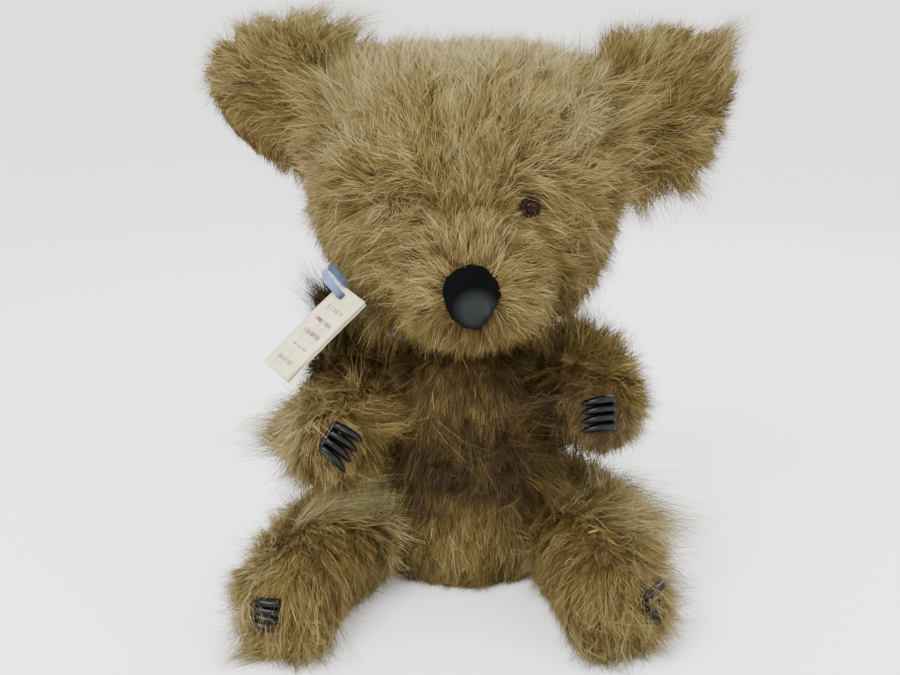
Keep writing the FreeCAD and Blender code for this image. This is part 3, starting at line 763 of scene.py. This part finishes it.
# --- groom ---------------------------------------------------------------------------------------
# Guides: place x, y, z; lie x, y, z; length; lift in degrees; tone from 0 dark to 1 pale; reach.
GROOM = {
    "head": [
        (0, -62, 238, 0.1, 0.3, 1, 17, 36, 0.66, 30),
        (-35, -55, 245, -0.35, 0.3, 1, 18, 36, 0.64, 28),
        (35, -55, 245, 0.5, 0.3, 1, 18, 36, 0.64, 28),
        (3, -74, 208, 0.1, 0.2, 1, 14, 32, 0.6, 18),
        (3, -88, 192, 0, 0.4, 1, 10, 35, 0.56, 14),
        (-21, -84, 176, -1, 0.4, 0.1, 12, 35, 0.56, 14),
        (27, -84, 176, 1, 0.4, 0.1, 12, 35, 0.56, 14),
        (-18, -80, 155, -0.7, 0.1, -0.8, 15, 38, 0.5, 15),
        (22, -80, 155, 0.7, 0.1, -0.8, 15, 38, 0.5, 15),
        (3, -80, 148, 0, -0.1, -1, 16, 38, 0.38, 16),
        (3, -60, 140, 0, -0.1, -1, 13, 30, 0.28, 18),
        (-31, -62, 215, -0.6, -0.1, -0.7, 13, 30, 0.56, 9),
        (36, -62, 217, 0.7, -0.1, -0.3, 10, 30, 0.58, 9),
        (-31, -62, 203, -0.9, 0.2, -0.3, 15, 30, 0.54, 12),
        (36, -60, 204, 0.9, 0.3, -0.2, 15, 30, 0.56, 12),
        (-42, -62, 190, -0.9, 0.3, -0.45, 20, 34, 0.5, 22),
        (42, -62, 190, 0.9, 0.3, -0.4, 18, 34, 0.46, 22),
        (-72, -20, 200, -0.5, 0.5, -0.7, 15, 34, 0.54, 26),
        (72, -20, 200, 0.6, 0.5, -0.6, 17, 36, 0.5, 28),
        (-60, -28, 172, -0.3, 0.2, -1, 14, 26, 0.5, 20),
        (-46, -34, 152, -0.2, -0.5, -0.8, 27, 48, 0.4, 17),
        (55, -25, 160, 0.5, 0, -1, 21, 34, 0.46, 24),
        (-72, -15, 240, -0.8, 0.3, 0.5, 21, 35, 0.7, 26),
        (72, -15, 240, 0.8, 0.3, 0.5, 21, 35, 0.7, 26),
        (0, -10, 284, 0.15, 0.5, 0.9, 17, 52, 0.86, 32),
        (-44, -5, 277, -0.2, 0.3, 0.9, 18, 50, 0.82, 20),
        (-60, -10, 272, 0.2, -0.2, 1, 30, 60, 0.72, 12),
        (42, -5, 277, 0.5, 0.4, 0.9, 16, 50, 0.82, 22),
        (64, -10, 268, 0.5, -0.1, 1, 28, 56, 0.74, 14),
        (0, 45, 262, 0, 0.7, -0.6, 20, 34, 0.7, 35),
        (0, 62, 215, 0, 0.2, -1, 22, 26, 0.64, 45),
        (-60, 40, 210, -0.4, 0.5, -1, 22, 30, 0.66, 32),
        (60, 40, 210, 0.4, 0.5, -1, 22, 30, 0.66, 32),
        (0, 45, 165, 0, 0.3, -1, 19, 30, 0.55, 32),
        (0, 0, 139, 0, -0.5, 0, 5, 20, 0.35, 26),
    ],
    "ear_left": [
        (98, -6, 254, 0.8, 0, 0.65, 18, 26, 0.48, 22),
        (126, -5, 266, 0.7, 0, 0.6, 15, 28, 0.5, 16),
        (80, 0, 281, -0.1, -0.1, 1, 25, 52, 0.64, 14),
        (105, 0, 290, 0.5, 0, 1, 13, 40, 0.66, 14),
        (127, 0, 284, 0.7, -0.1, 0.75, 22, 40, 0.6, 12),
        (137, 0, 262, 0.7, -0.1, 0.1, 9, 26, 0.56, 12),
        (132, 0, 240, 0.5, -0.2, -0.6, 13, 30, 0.52, 12),
        (116, 0, 224, 0.7, -0.2, -0.7, 27, 40, 0.48, 14),
        (92, -3, 218, 0.5, -0.2, -0.9, 28, 44, 0.44, 16),
        (98, 10, 254, 0.6, 0.3, 0.2, 17, 28, 0.54, 24),
    ],
    "ear_right": [
        (-91, -6, 260, -0.8, 0, 0.35, 19, 28, 0.48, 22),
        (-122, -5, 266, -0.8, 0, 0.2, 13, 26, 0.52, 16),
        (-108, 0, 292, -0.2, -0.1, 0.8, 14, 40, 0.68, 14),
        (-86, -1, 298, 0.4, -0.2, 0.9, 22, 50, 0.7, 12),
        (-72, -2, 292, 0.8, -0.3, 0.7, 34, 56, 0.68, 11),
        (-126, 0, 248, 0.2, -0.5, -0.8, 5, 10, 0.5, 13),
        (-112, 0, 234, 0.2, -0.4, -0.9, 6, 12, 0.46, 14),
        (-90, -3, 226, -0.2, -0.2, -0.9, 14, 32, 0.4, 15),
        (-91, 10, 260, -0.5, 0.3, 0.1, 16, 28, 0.54, 24),
    ],
    "torso": [
        (0, -46, 112, 0, -0.1, -1, 10, 15, 0.43, 30),
        (0, -50, 86, 0, -0.1, -1, 11, 16, 0.04, 20),
        (0, -51, 69, 0, -0.3, -1, 12, 24, 0, 9),
        (-22, -46, 68, -0.1, -0.3, -1, 12, 24, 0.08, 8),
        (22, -46, 68, 0.1, -0.3, -1, 12, 24, 0.08, 8),
        (0, -51, 54, 0, -0.2, -1, 10, 16, 0.42, 14),
        (0, -50, 34, 0, -0.2, -1, 12, 18, 0.47, 20),
        (0, -46, 10, 0, -0.7, -0.7, 17, 30, 0.56, 20),
        (-36, -38, 100, -0.2, -0.1, -1, 12, 22, 0.3, 20),
        (36, -38, 100, 0.2, -0.1, -1, 12, 22, 0.24, 20),
        (-30, -38, 64, -0.4, -0.3, -0.8, 14, 26, 0.2, 14),
        (30, -38, 64, 0.4, -0.3, -0.8, 14, 26, 0.2, 14),
        (-40, -22, 70, -0.8, -0.4, -0.5, 27, 52, 0.36, 13),
        (40, -22, 72, 0.8, -0.3, -0.5, 30, 52, 0.46, 14),
        (40, 15, 75, 0.9, 0.2, -0.5, 26, 48, 0.44, 18),
        (-40, 15, 75, -0.9, 0.2, -0.5, 24, 48, 0.44, 18),
        (0, 48, 85, 0, 0.1, -1, 18, 26, 0.46, 60),
        (0, 0, 138, 0, -0.6, 0, 5, 15, 0.2, 28),
        (-28, -20, 131, -0.6, -0.4, 0.3, 12, 35, 0.06, 16),
        (28, -20, 131, 0.6, -0.4, 0.3, 12, 35, 0.16, 16),
    ],
    "arm_left": [
        (56, -66, 112, 0.3, -0.2, -0.6, 8, 14, 0.22, 20),
        (42, -50, 108, -0.6, -0.4, -0.6, 13, 34, 0.18, 14),
        (43, -25, 122, -0.6, -0.5, 0.4, 18, 46, 0.3, 14),
        (58, -34, 131, 0.1, -0.2, 1, 24, 60, 0.46, 16),
        (74, -30, 126, 0.5, -0.2, 0.9, 25, 56, 0.58, 14),
        (58, 2, 131, 0, -0.2, 0.8, 22, 50, 0.46, 18),
        (78, -58, 122, 0.8, -0.2, 0.5, 19, 44, 0.62, 12),
        (88, -45, 108, 0.9, -0.3, -0.4, 22, 40, 0.7, 18),
        (86, -70, 104, 0.7, 0, -0.7, 14, 34, 0.66, 11),
        (62, -84, 98, 0.1, 0, -0.9, 8, 16, 0.24, 15),
        (64, -62, 90, 0.3, -0.2, -1, 13, 28, 0.3, 18),
        (70, 12, 110, 0.3, 0.2, -1, 20, 30, 0.58, 30),
    ],
    "arm_right": [
        (-69, -83, 94, 0, 0, -1, 14, 26, 0.56, 14),
        (-90, -60, 104, -0.7, -0.2, -0.8, 26, 38, 0.78, 16),
        (-90, -44, 88, -0.9, -0.1, -0.35, 31, 46, 0.78, 14),
        (-80, -66, 112, -0.3, -0.3, -0.3, 17, 34, 0.72, 12),
        (-65, -48, 120, -0.2, -0.6, 0.1, 19, 38, 0.6, 18),
        (-46, -62, 100, 0.8, -0.4, -0.4, 20, 46, 0.42, 13),
        (-44, -30, 122, 0.5, -0.6, 0.1, 19, 44, 0.26, 14),
        (-62, -24, 131, -0.1, -0.5, 0.7, 20, 48, 0.12, 14),
        (-72, -58, 74, -0.4, -0.1, -1, 28, 40, 0.56, 17),
        (-66, -2, 131, -0.7, -0.1, 0.9, 30, 62, 0.04, 13),
        (-70, 12, 110, -0.3, 0.2, -1, 20, 30, 0.56, 30),
    ],
    "leg_left": [
        (60, -38, 51, -0.2, -0.8, 0.1, 17, 28, 0.58, 16),
        (64, -8, 52, 0.5, -0.3, 0.8, 27, 54, 0.54, 16),
        (80, -44, 44, 1, -0.1, 0.3, 37, 50, 0.78, 14),
        (84, -70, 40, 1, -0.3, 0.2, 30, 44, 0.8, 14),
        (76, -95, 47, 0.1, -0.8, -0.3, 12, 20, 0.5, 16),
        (58, -88, 44, -0.3, -0.7, -0.7, 12, 18, 0.46, 16),
        (69, -127, 28, 0, -0.1, -1, 14, 18, 0.5, 20),
        (69, -121, 9, 0.1, -0.9, -0.6, 26, 38, 0.52, 15),
        (94, -104, 12, 0.8, -0.5, -0.4, 27, 38, 0.7, 16),
        (93, -90, 28, 1, -0.2, -0.1, 28, 42, 0.86, 16),
        (84, -50, 20, 0.9, -0.2, -0.2, 26, 38, 0.74, 20),
        (47, -95, 24, -0.3, -0.3, -0.9, 13, 20, 0.44, 20),
        (68, -100, 1, 0, -1, 0, 8, 12, 0.4, 22),
        (62, 18, 26, 0.3, 0.3, -0.8, 20, 28, 0.58, 26),
    ],
    "leg_right": [
        (-60, -35, 51, 0.9, -0.3, 0.5, 27, 44, 0.86, 14),
        (-76, -56, 50, 0.5, -0.7, 0.3, 22, 38, 0.78, 15),
        (-82, -84, 46, -0.1, -0.9, -0.3, 13, 22, 0.54, 16),
        (-64, -84, 42, 0.3, -0.6, -0.8, 12, 18, 0.46, 16),
        (-84, -125, 28, -0.35, -0.1, -0.9, 14, 20, 0.5, 18),
        (-80, -120, 9, 0.1, -0.9, -0.6, 26, 38, 0.56, 16),
        (-108, -100, 26, -0.9, -0.3, 0.1, 20, 36, 0.84, 14),
        (-92, -48, 30, -1, -0.1, 0.2, 26, 42, 0.86, 20),
        (-104, -114, 8, -1, -0.3, -0.2, 27, 26, 0.72, 13),
        (-60, -98, 24, 0.3, -0.3, -0.9, 13, 20, 0.46, 20),
        (-80, -100, 1, 0, -1, 0, 8, 12, 0.4, 22),
        (-62, 18, 26, -0.3, 0.3, -0.8, 20, 28, 0.58, 26),
    ],
}
# Places without fur: the centre and the radii of each bare spot.
BALD = {
    "head": [((3, -95, 172), (10.8, 14, 12.8)), ((32, -62, 210.5), (4.0, 12, 3.6)),
             ((-32, -62, 210.5), (2.0, 12, 1.7))],
}
COMB_BARE = {"arm_left": 6.5, "arm_right": 6.5, "leg_left": 2.5, "leg_right": 2.5}
COMB_TONE = {"arm_left": 0.18, "arm_right": 0.50}  # short pile, combed along the claws
for limb, (seat, heading, _, _) in comb_place.items():
    BALD[limb] = [(seat + heading * 4, (COMB_BARE[limb],) * 3)]
    if limb in COMB_TONE:
        GROOM[limb].append((*(seat + heading * 5), *heading, 7, 14, COMB_TONE[limb], 13))
# Tufts: root x, y, z; tip x, y, z; width at the root and at the tip; number of locks; tone.
TUFTS = {
    "head": [
        (-46, -42, 156, -50, -48, 134, 10, 10, 16, 0.36),
        (-54, -38, 164, -57, -46, 146, 8, 8, 10, 0.42),
        (66, -28, 184, 77, -34, 170, 10, 8, 10, 0.52),
        (-42, -36, 150, -36, -44, 132, 9, 10, 12, 0.3),
        (40, -36, 150, 42, -44, 132, 12, 12, 18, 0.34),
        (52, -30, 156, 54, -38, 138, 12, 12, 16, 0.4),
        (70, -22, 252, 99, -20, 264, 15, 16, 26, 0.56),
        (70, -24, 234, 97, -22, 236, 15, 16, 26, 0.52),
        (70, -24, 216, 90, -24, 208, 13, 14, 18, 0.5),
        (-68, -22, 258, -92, -20, 270, 14, 15, 22, 0.58),
        (-69, -24, 240, -90, -20, 240, 14, 15, 22, 0.52),
        (-36, -60, 215, -28, -73, 208, 4, 3, 3, 0.56),
    ],
    "torso": [
        (27 * math.cos(turn), -4 + 23 * math.sin(turn), 131,
         41 * math.cos(turn), -6 + 36 * math.sin(turn), 139, 10, 8, 10, 0.1)
        for turn in np.radians(range(0, 360, 24))  # a ring that hides the neck joint
    ] + [
        (38, -28, 86, 60, -38, 75, 15, 13, 26, 0.28),
        (38, -34, 62, 56, -46, 54, 13, 12, 18, 0.34),
        (-38, -34, 66, -54, -46, 62, 13, 12, 18, 0.3),
        (0, -50, 76, 0, -58, 62, 34, 22, 26, 0.12),
    ],
    "ear_left": [
        (128, 0, 280, 142, -5, 298, 12, 8, 40, 0.6),
        (133, 0, 262, 143, -5, 280, 10, 7, 20, 0.58),
        (122, -2, 230, 133, -6, 226, 9, 8, 16, 0.54),
        (114, -4, 220, 121, -8, 205, 11, 11, 26, 0.5),
        (94, -6, 216, 96, -12, 194, 12, 12, 28, 0.46),
        (78, -4, 276, 72, -10, 298, 8, 8, 8, 0.7),
    ],
    "ear_right": [
        (-72, -2, 290, -42, -8, 302, 8, 6, 14, 0.74),
        (-86, -2, 298, -60, -6, 309, 8, 7, 12, 0.74),
        (-126, -2, 266, -138, -5, 274, 8, 6, 8, 0.6),
    ],
    "arm_left": [
        (60, -20, 131, 62, -24, 151, 11, 9, 12, 0.48),
        (74, -34, 126, 82, -42, 145, 10, 8, 12, 0.6),
        (84, -56, 112, 98, -60, 114, 10, 9, 16, 0.66),
        (47, -54, 106, 27, -61, 100, 14, 12, 22, 0.12),
        (48, -40, 92, 34, -48, 78, 12, 11, 12, 0.06),
        (60, -48, 90, 64, -54, 75, 15, 13, 22, 0.22),
    ],
    "arm_right": [
        (-84, -52, 90, -115, -58, 92, 14, 10, 44, 0.74),
        (-84, -54, 104, -105, -62, 108, 11, 9, 12, 0.78),
        (-78, -58, 78, -99, -62, 61, 11, 8, 14, 0.66),
        (-64, -62, 76, -78, -70, 58, 10, 8, 10, 0.58),
        (-52, -66, 100, -27, -72, 108, 10, 9, 10, 0.44),
        (-62, -6, 131, -84, -22, 166, 11, 12, 85, 0),
        (-76, -68, 112, -83, -91, 127, 8, 7, 12, 0.64),
    ],
    "leg_left": [
        (78, -40, 38, 125, -48, 35, 19, 15, 50, 0.8),
        (74, -25, 46, 106, -32, 50, 14, 12, 24, 0.76),
        (84, -66, 36, 114, -72, 30, 14, 12, 26, 0.8),
        (90, -94, 26, 112, -102, 24, 12, 10, 18, 0.74),
        (86, -104, 12, 103, -120, 8, 10, 9, 18, 0.66),
        (88, -112, 32, 98, -128, 20, 9, 9, 10, 0.62),
        (67, -118, 8, 67, -142, 1, 22, 20, 44, 0.54),
    ],
    "leg_right": [
        (-84, -66, 42, -43, -50, 58, 10, 8, 40, 1.15),
        (-98, -92, 28, -119, -100, 27, 10, 6, 20, 0.76),
        (-90, -60, 36, -115, -70, 36, 10, 7, 20, 0.74),
        (-86, -118, 20, -92, -132, 6, 10, 10, 12, 0.56),
        (-99, -110, 36, -104, -131, 19, 7, 7, 14, 0.62),
        (-84, -120, 40, -80, -134, 22, 7, 7, 8, 0.54),
        (-84, -50, 44, -103, -60, 46, 9, 7, 10, 0.76),
        (-92, -112, 10, -116, -136, 2, 12, 10, 26, 0.74),
        (-78, -118, 8, -74, -142, 1, 22, 20, 44, 0.54),
    ],
}
# Two layers of pile: a dense, soft underwool, and long, fine, wavy guard hairs over it.
TOUCHING = 0.0015   # nothing grows this near to another body's hide
ROOM = 26.0         # furthest that a spot looks for another body
LEAST_ROOM = 2.5
ROOT_IN = 0.9       # how deep the strands are rooted in the hide
FLOOR_CLEAR = 0.15
LAYERS = {
    "wool": dict(rows=4, spacing=3.2, strands=14, width=0.31, scale=(0.45, 0.90), gather=(0.50, 0.20),
                 tone=-0.06, noise=0.22, frizz=0.05, curl=0.30, spread=0.10, tufted=0.6),
    "guard": dict(rows=7, spacing=4.4, strands=16, width=0.16, scale=(0.70, 1.18), gather=(0.28, 0.30),
                  tone=0.10, noise=0.40, frizz=0.13, curl=1.0, spread=0.17, tufted=1.0),
}
DENSITY = {"torso": 1.15, "arm_left": 1.1}
PIECE_STRANDS = {4: 39000, 7: 18000}


def wander(points, reach, seed):
    """Three smooth random numbers for each point, about -1 to 1, that change over the reach."""
    random = np.random.default_rng(seed)
    total = np.zeros((len(points), 3))
    waves = 6
    for _ in range(waves):
        heading = unit(random.normal(size=3)) * 2 * np.pi / (reach * random.uniform(0.8, 1.8))
        total += np.sin((points @ heading)[:, None] + random.uniform(0, 2 * np.pi, 3))
    return total / math.sqrt(waves / 2) / 1.6


def scatter(mesh, density, random):
    """Points spread evenly over a mesh, so many to the square millimetre, with its normals there."""
    points, outward, corners = coordinates(mesh), normals(mesh), triangles(mesh)
    a, b, c = (points[corners[:, index]] for index in range(3))
    area = np.linalg.norm(np.cross(b - a, c - a), axis=1) / 2
    count = int(area.sum() * density)
    chosen = random.choice(len(area), count, p=area / area.sum())
    u, v = random.random((2, count, 1))
    over = u + v > 1
    u, v = np.where(over, 1 - u, u), np.where(over, 1 - v, v)
    blend = [1 - u - v, u, v]
    spots = sum(weight * points[corners[chosen, index]] for index, weight in enumerate(blend))
    facing = unit(sum(weight * outward[corners[chosen, index]] for index, weight in enumerate(blend)))
    return spots, facing


def groomed(region, spots):
    """The guides' lie, length, lift and tone at each spot, blended by distance."""
    guides = np.array(GROOM[region], float)
    places, lies, shapes, reach = guides[:, :3], unit(guides[:, 3:6]), guides[:, 6:9], guides[:, 9]
    apart = np.linalg.norm(spots[:, None] - places[None], axis=2)
    # a guide with a short reach outweighs a wide one close by, and the last term fills in far from both
    weight = (30 / reach) ** 2 * np.exp(-(apart / reach) ** 2) + 1e-3 / (1 + (apart / 20) ** 4)
    weight /= weight.sum(axis=1, keepdims=True)
    mixed = weight @ np.hstack([lies, shapes])
    return mixed[:, :3], mixed[:, 3], mixed[:, 4], mixed[:, 5]


def bare(region, spots):
    """Which spots lie in a bald place."""
    hit = np.zeros(len(spots), bool)
    for centre, radii in BALD.get(region, []):
        hit |= (((spots - np.array(centre, float)) / np.array(radii, float)) ** 2).sum(axis=1) < 1
    return hit


def room_for(spots, outward, region, furthest):
    """How far each spot can grow along its normal before it meets another body's hide."""
    others = [tree for name, tree in solid_of.items() if name != region and
              {name, region} not in ({"head", "ear_left"}, {"head", "ear_right"})]
    free = np.full(len(spots), float(furthest))
    for index, (spot, normal) in enumerate(zip(spots * MM, outward)):
        start = Vector(spot)
        ahead = Vector(normal)
        for tree in others:
            found = tree.ray_cast(start, ahead, free[index] * MM)
            if found[0] is not None:
                free[index] = min(free[index], found[3] / MM)
            if tree.find_nearest(start, TOUCHING)[0] is not None:
                free[index] = 0.0
    return free


def blades(name, centre, width, toward, tone, body, slot):
    """Strand meshes: each strand is a blade of rows that taper to a point."""
    strands, rows = centre.shape[:2]
    along = unit(np.gradient(centre, axis=1))
    taper = np.interp(np.linspace(0, 1, rows), [0, 0.2, 0.5, 0.8, 1], [0.8, 1.0, 0.85, 0.5, 0.0])
    side = unit(np.cross(along, toward)) * (width[:, None] * taper[None])[..., None] / 2
    left, right = centre[:, :-1] - side[:, :-1], centre[:, :-1] + side[:, :-1]
    body_rows = np.stack([left, right], axis=2).reshape(strands, -1, 3)
    points = np.concatenate([body_rows, centre[:, -1:]], axis=1)
    points[..., 2] = np.maximum(points[..., 2], FLOOR_CLEAR)
    per = points.shape[1]
    heights = np.array(np.repeat(np.linspace(0, 1, rows)[:-1], 2).tolist() + [1.0])
    quads = [(2 * r, 2 * r + 1, 2 * r + 3, 2 * r + 2) for r in range(rows - 2)]
    pattern = np.array([corner for quad in quads for corner in quad] + [per - 3, per - 2, per - 1])
    sizes = [4] * len(quads) + [3]
    for part, first in enumerate(range(0, strands, PIECE_STRANDS[rows])):
        block = points[first:first + PIECE_STRANDS[rows]]
        count = len(block)
        mesh = bpy.data.meshes.new(f"{name}_{part + 1}")
        mesh.vertices.add(count * per)
        mesh.vertices.foreach_set("co", (block * MM).astype(np.float32).ravel())
        corners = (pattern[None] + (np.arange(count) * per)[:, None]).astype(np.int32).ravel()
        mesh.loops.add(len(corners))
        mesh.loops.foreach_set("vertex_index", corners)
        lengths = np.tile(sizes, count).astype(np.int32)
        mesh.polygons.add(len(lengths))
        mesh.polygons.foreach_set("loop_start", (np.cumsum(lengths) - lengths).astype(np.int32))
        mesh.polygons.foreach_set("use_smooth", np.ones(len(lengths), bool))
        layer = mesh.uv_layers.new(name="OFBake")
        shades = np.repeat(np.clip(tone[first:first + count], 0.01, 0.99), len(pattern))
        up = np.tile(np.clip(heights[pattern], 0.01, 0.99), count)
        layer.data.foreach_set("uv", np.stack([shades, up], axis=1).astype(np.float32).ravel())
        mesh.update(calc_edges=True)
        item = new_object(f"{name}_{part + 1}", mesh)
        dress(item, fur)
        declare(item, body, slot)


def held_in(centre):
    """Strands shortened where they would leave the box that the pile may stand proud of."""
    roots = centre[:, :1]
    reach = centre - roots
    share = np.ones(len(centre))
    for axis in range(3):
        for limit, side in ((PILE_BOX[0][axis], -1), (PILE_BOX[1][axis], 1)):
            furthest = (side * centre[:, :, axis]).max(axis=1)
            base = side * roots[:, 0, axis]
            over = furthest > side * limit
            share[over] = np.minimum(share[over], np.clip(
                (side * limit - base[over]) / (furthest[over] - base[over]), 0.1, 1.0))
    return roots + reach * share[:, None, None]


def nearest(region, place):
    """The nearest spot on a region's hide, in millimetres, and the normal there."""
    spot, normal = solid_of[region].find_nearest(Vector(place * MM))[:2]
    return np.array(spot) / MM, np.array(normal)


def tuft_locks(region, share, rows, random):
    """Long locks that stand out from the pile, each bent from its root on the hide to its own tip."""
    found = []
    for *ends, wide, loose, locks, shade in TUFTS.get(region, []):
        root, tip = np.array(ends[:3]), np.array(ends[3:])
        for _ in range(round(locks * share)):
            near = root + random.normal(0, wide / 2, 3)
            start, normal = nearest(region, near)
            reach = tip + random.normal(0, loose / 2, 3) - start
            reach *= random.uniform(0.75, 1.1)
            knee = 0.35 * reach + 0.32 * np.linalg.norm(reach) * normal
            line = 2 * (1 - rows)[:, None] * rows[:, None] * knee + rows[:, None] ** 2 * reach
            found.append((start, normal, line, np.linalg.norm(reach), shade + random.normal(0, 0.06)))
    return [np.array(values) for values in zip(*found)]


def coat(region, layer_name, body, slot, seed):
    """One layer of a region's pile: locks scattered over its hide and combed by its guides."""
    layer = LAYERS[layer_name]
    random = np.random.default_rng(seed)
    spots, outward = scatter(hides[region].data, DENSITY.get(region, 1.0) / layer["spacing"] ** 2, random)
    free = room_for(spots, outward, region, ROOM)
    keep = (free > LEAST_ROOM) & ~bare(region, spots)
    spots, outward, free = spots[keep], outward[keep], free[keep]
    lie, length, lift, tone = groomed(region, spots)
    count = len(spots)
    # short pile lies neatly and long pile is tousled
    tousle = np.clip((length - 8) / 10, 0.3, 1.0)[:, None]
    lie = lie + tousle * (0.38 * wander(spots, 34.0, seed + 1) + 0.30 * wander(spots, 10.0, seed + 2))
    lie += tousle * layer["noise"] * random.normal(size=(count, 3))
    into = (lie * outward).sum(axis=1, keepdims=True)
    free_lie = unit(lie - outward * np.minimum(into, 0.0))
    lie = unit(lie - outward * into)
    patch = wander(spots, 18.0, seed + 3)
    length = length * (1 + 0.16 * patch[:, 0]) * random.uniform(0.8, 1.2, count)
    lift = np.radians(lift * (1 + 0.25 * tousle[:, 0] * patch[:, 1]) + random.normal(0, 6, count))
    length = np.minimum(length, np.maximum(free, 3.0) / np.maximum(np.sin(lift), 0.3))
    tone = tone + 0.06 * patch[:, 2] + random.normal(0, 0.05, count)
    rows = np.linspace(0, 1, layer["rows"])
    # the middle line of each lock: it rises from the hide, then lies over along the groom
    angle = lift[:, None] * (1.15 - 0.7 * rows[None])
    heading = lie[:, None] * np.cos(angle)[..., None] + outward[:, None] * np.sin(angle)[..., None]
    bend = 0.35 * tousle[:, None] * random.normal(size=(count, 1, 3)) * rows[None, :, None]
    fall = np.array([0.0, 0.0, -0.25]) * rows[None, :, None]
    heading = unit(heading + 1.1 * free_lie[:, None] * rows[None, :, None] + bend + fall)
    steps = heading[:, :-1] * (length / (len(rows) - 1))[:, None, None]
    middle = np.concatenate([np.zeros((count, 1, 3)), np.cumsum(steps, axis=1)], axis=1)
    if region in TUFTS:
        more = tuft_locks(region, layer["tufted"], rows, random)
        spots, outward, middle, length, tone = (
            np.concatenate(pair) for pair in zip((spots, outward, middle, length, tone), more))
    # strands about that line: their roots spread on the hide and their tips draw together
    count, per = len(spots), layer["strands"]
    across = unit(np.cross(outward, middle[:, -1]))
    lie = np.cross(across, outward)
    spread = layer["spacing"] * 0.95 * np.sqrt(random.random((count, per)))
    turn = random.uniform(0, 2 * np.pi, (count, per))
    offset = lie[:, None] * np.cos(turn)[..., None] + across[:, None] * np.sin(turn)[..., None]
    offset = offset * spread[..., None]
    gather = np.clip(random.normal(*layer["gather"], (count, per)), -0.6, 0.95)
    scale = random.uniform(*layer["scale"], (count, per))
    drawn = 1 - gather[..., None] * rows[None, None] ** 0.8
    frizz = random.normal(0, layer["frizz"], (count, per, 1, 3)) * length[:, None, None, None]
    waves = random.uniform(1.0, 2.1, (count, per, 1, 1)) * length[:, None, None, None] / 18
    phase = random.uniform(0, 2 * np.pi, (count, per, 1, 1))
    swing = np.sin(waves * 2 * np.pi * rows[None, None, :, None] + phase) - np.sin(phase)
    swing = swing * layer["curl"] * random.normal(0, 0.6, (count, per, 1, 3))
    centre = (spots[:, None, None] - outward[:, None, None] * ROOT_IN
              + middle[:, None] * scale[..., None, None]
              + offset[:, :, None] * drawn[..., None]
              + frizz * (rows ** 1.5)[None, None, :, None]
              + swing * np.minimum(1.0, rows * 2.5)[None, None, :, None])
    roll = random.uniform(-0.9, 0.9, (count, per, 1, 1))
    toward = outward[:, None, None] * np.cos(roll) + across[:, None, None] * np.sin(roll)
    toward = np.broadcast_to(toward, centre.shape)
    width = layer["width"] * random.uniform(0.7, 1.3, (count, per))
    shade = tone[:, None] + layer["tone"] + random.normal(0, layer["spread"], (count, per))
    order = random.permutation(count * per)
    centre, toward = (values.reshape(-1, len(rows), 3)[order] for values in (centre, toward))
    blades(f"{region}_{layer_name}", held_in(centre), width.ravel()[order], toward, shade.ravel()[order],
           body, slot)


PROUD_SHARE, PROUD_MM = 0.03, 9.0  # how far the pile may stand outside the CAD's box
low, high = (np.array(corner) / MM for corner in cad_box)
proud = PROUD_SHARE * (high - low) + PROUD_MM
PILE_BOX = low - proud, high + proud
solid_of = {region: BVHTree.FromPolygons([vertex.co.copy() for vertex in item.data.vertices],
                                         [tuple(face.vertices) for face in item.data.polygons])
            for region, item in hides.items()}

# --- seams where the pile parts and the yellow hide shows ----------------------------------------
SEAMS = {
    "leg_left": [[(62, -84, 50), (66, -81, 50), (69, -80, 51)],
                 [(69, -80, 51), (73, -79, 49), (76, -79, 48)],
                 [(69, -80, 51), (71, -89, 49), (75, -98, 46)]],
    "arm_left": [[(75, -62, 125), (80, -68, 119), (84, -73, 111)]],
}
SEAM_WIDE = 1.7
SEAM_STEPS = 13
SEAM_FORM = ((-0.5, -0.5), (-0.4, 0.5), (0.0, 0.9), (0.4, 0.5), (0.5, -0.5))  # share of its width, height
seam_look = Nodes("seam_hide")
pores = seam_look.noise(700.0, 4.0)
seam_look.set(Base_Color=seam_look.ramp(pores, [(0.3, (112, 88, 34)), (0.7, (160, 132, 62))]),
              Roughness=0.7, Specular_IOR_Level=0.2, Normal=seam_look.bump(pores, 0.0003))
for region, runs in SEAMS.items():
    points, faces = [], []
    for first, middle, last in np.array(runs, float):
        steps = np.linspace(0, 1, SEAM_STEPS)[:, None]
        line = (1 - steps) ** 2 * first + 2 * (1 - steps) * steps * middle + steps ** 2 * last
        faces += row_faces(SEAM_STEPS, len(SEAM_FORM), start=len(points), closed=False)
        along = unit(last - first)
        for step, near in zip(steps[:, 0], line):
            spot, normal = nearest(region, near)
            aside = unit(np.cross(along, normal))
            wide = SEAM_WIDE * (1 - 0.7 * abs(2 * step - 1) ** 3) * (1 + 0.2 * math.sin(step * 31))
            for across, height in SEAM_FORM:
                points.append(spot + aside * across * wide + normal * height)
        BALD.setdefault(region, []).extend((tuple(near), (1.5, 1.5, 4.0)) for near in line[::4])
    strip = mesh_object(f"{region}_seam", points, faces)
    dress(strip, seam_look.material)
    declare(strip, region, "fur_hide")

COATED = ["torso", "head", "ear_left", "ear_right", "arm_left", "arm_right", "leg_left", "leg_right"]
for number, region in enumerate(COATED):
    body, slot = ("head", "ear_hide") if region.startswith("ear") else (region, "fur_hide")
    for layer_number, layer_name in enumerate(LAYERS):
        coat(region, layer_name, body, slot, 100 * (number + 1) + 50 * layer_number)
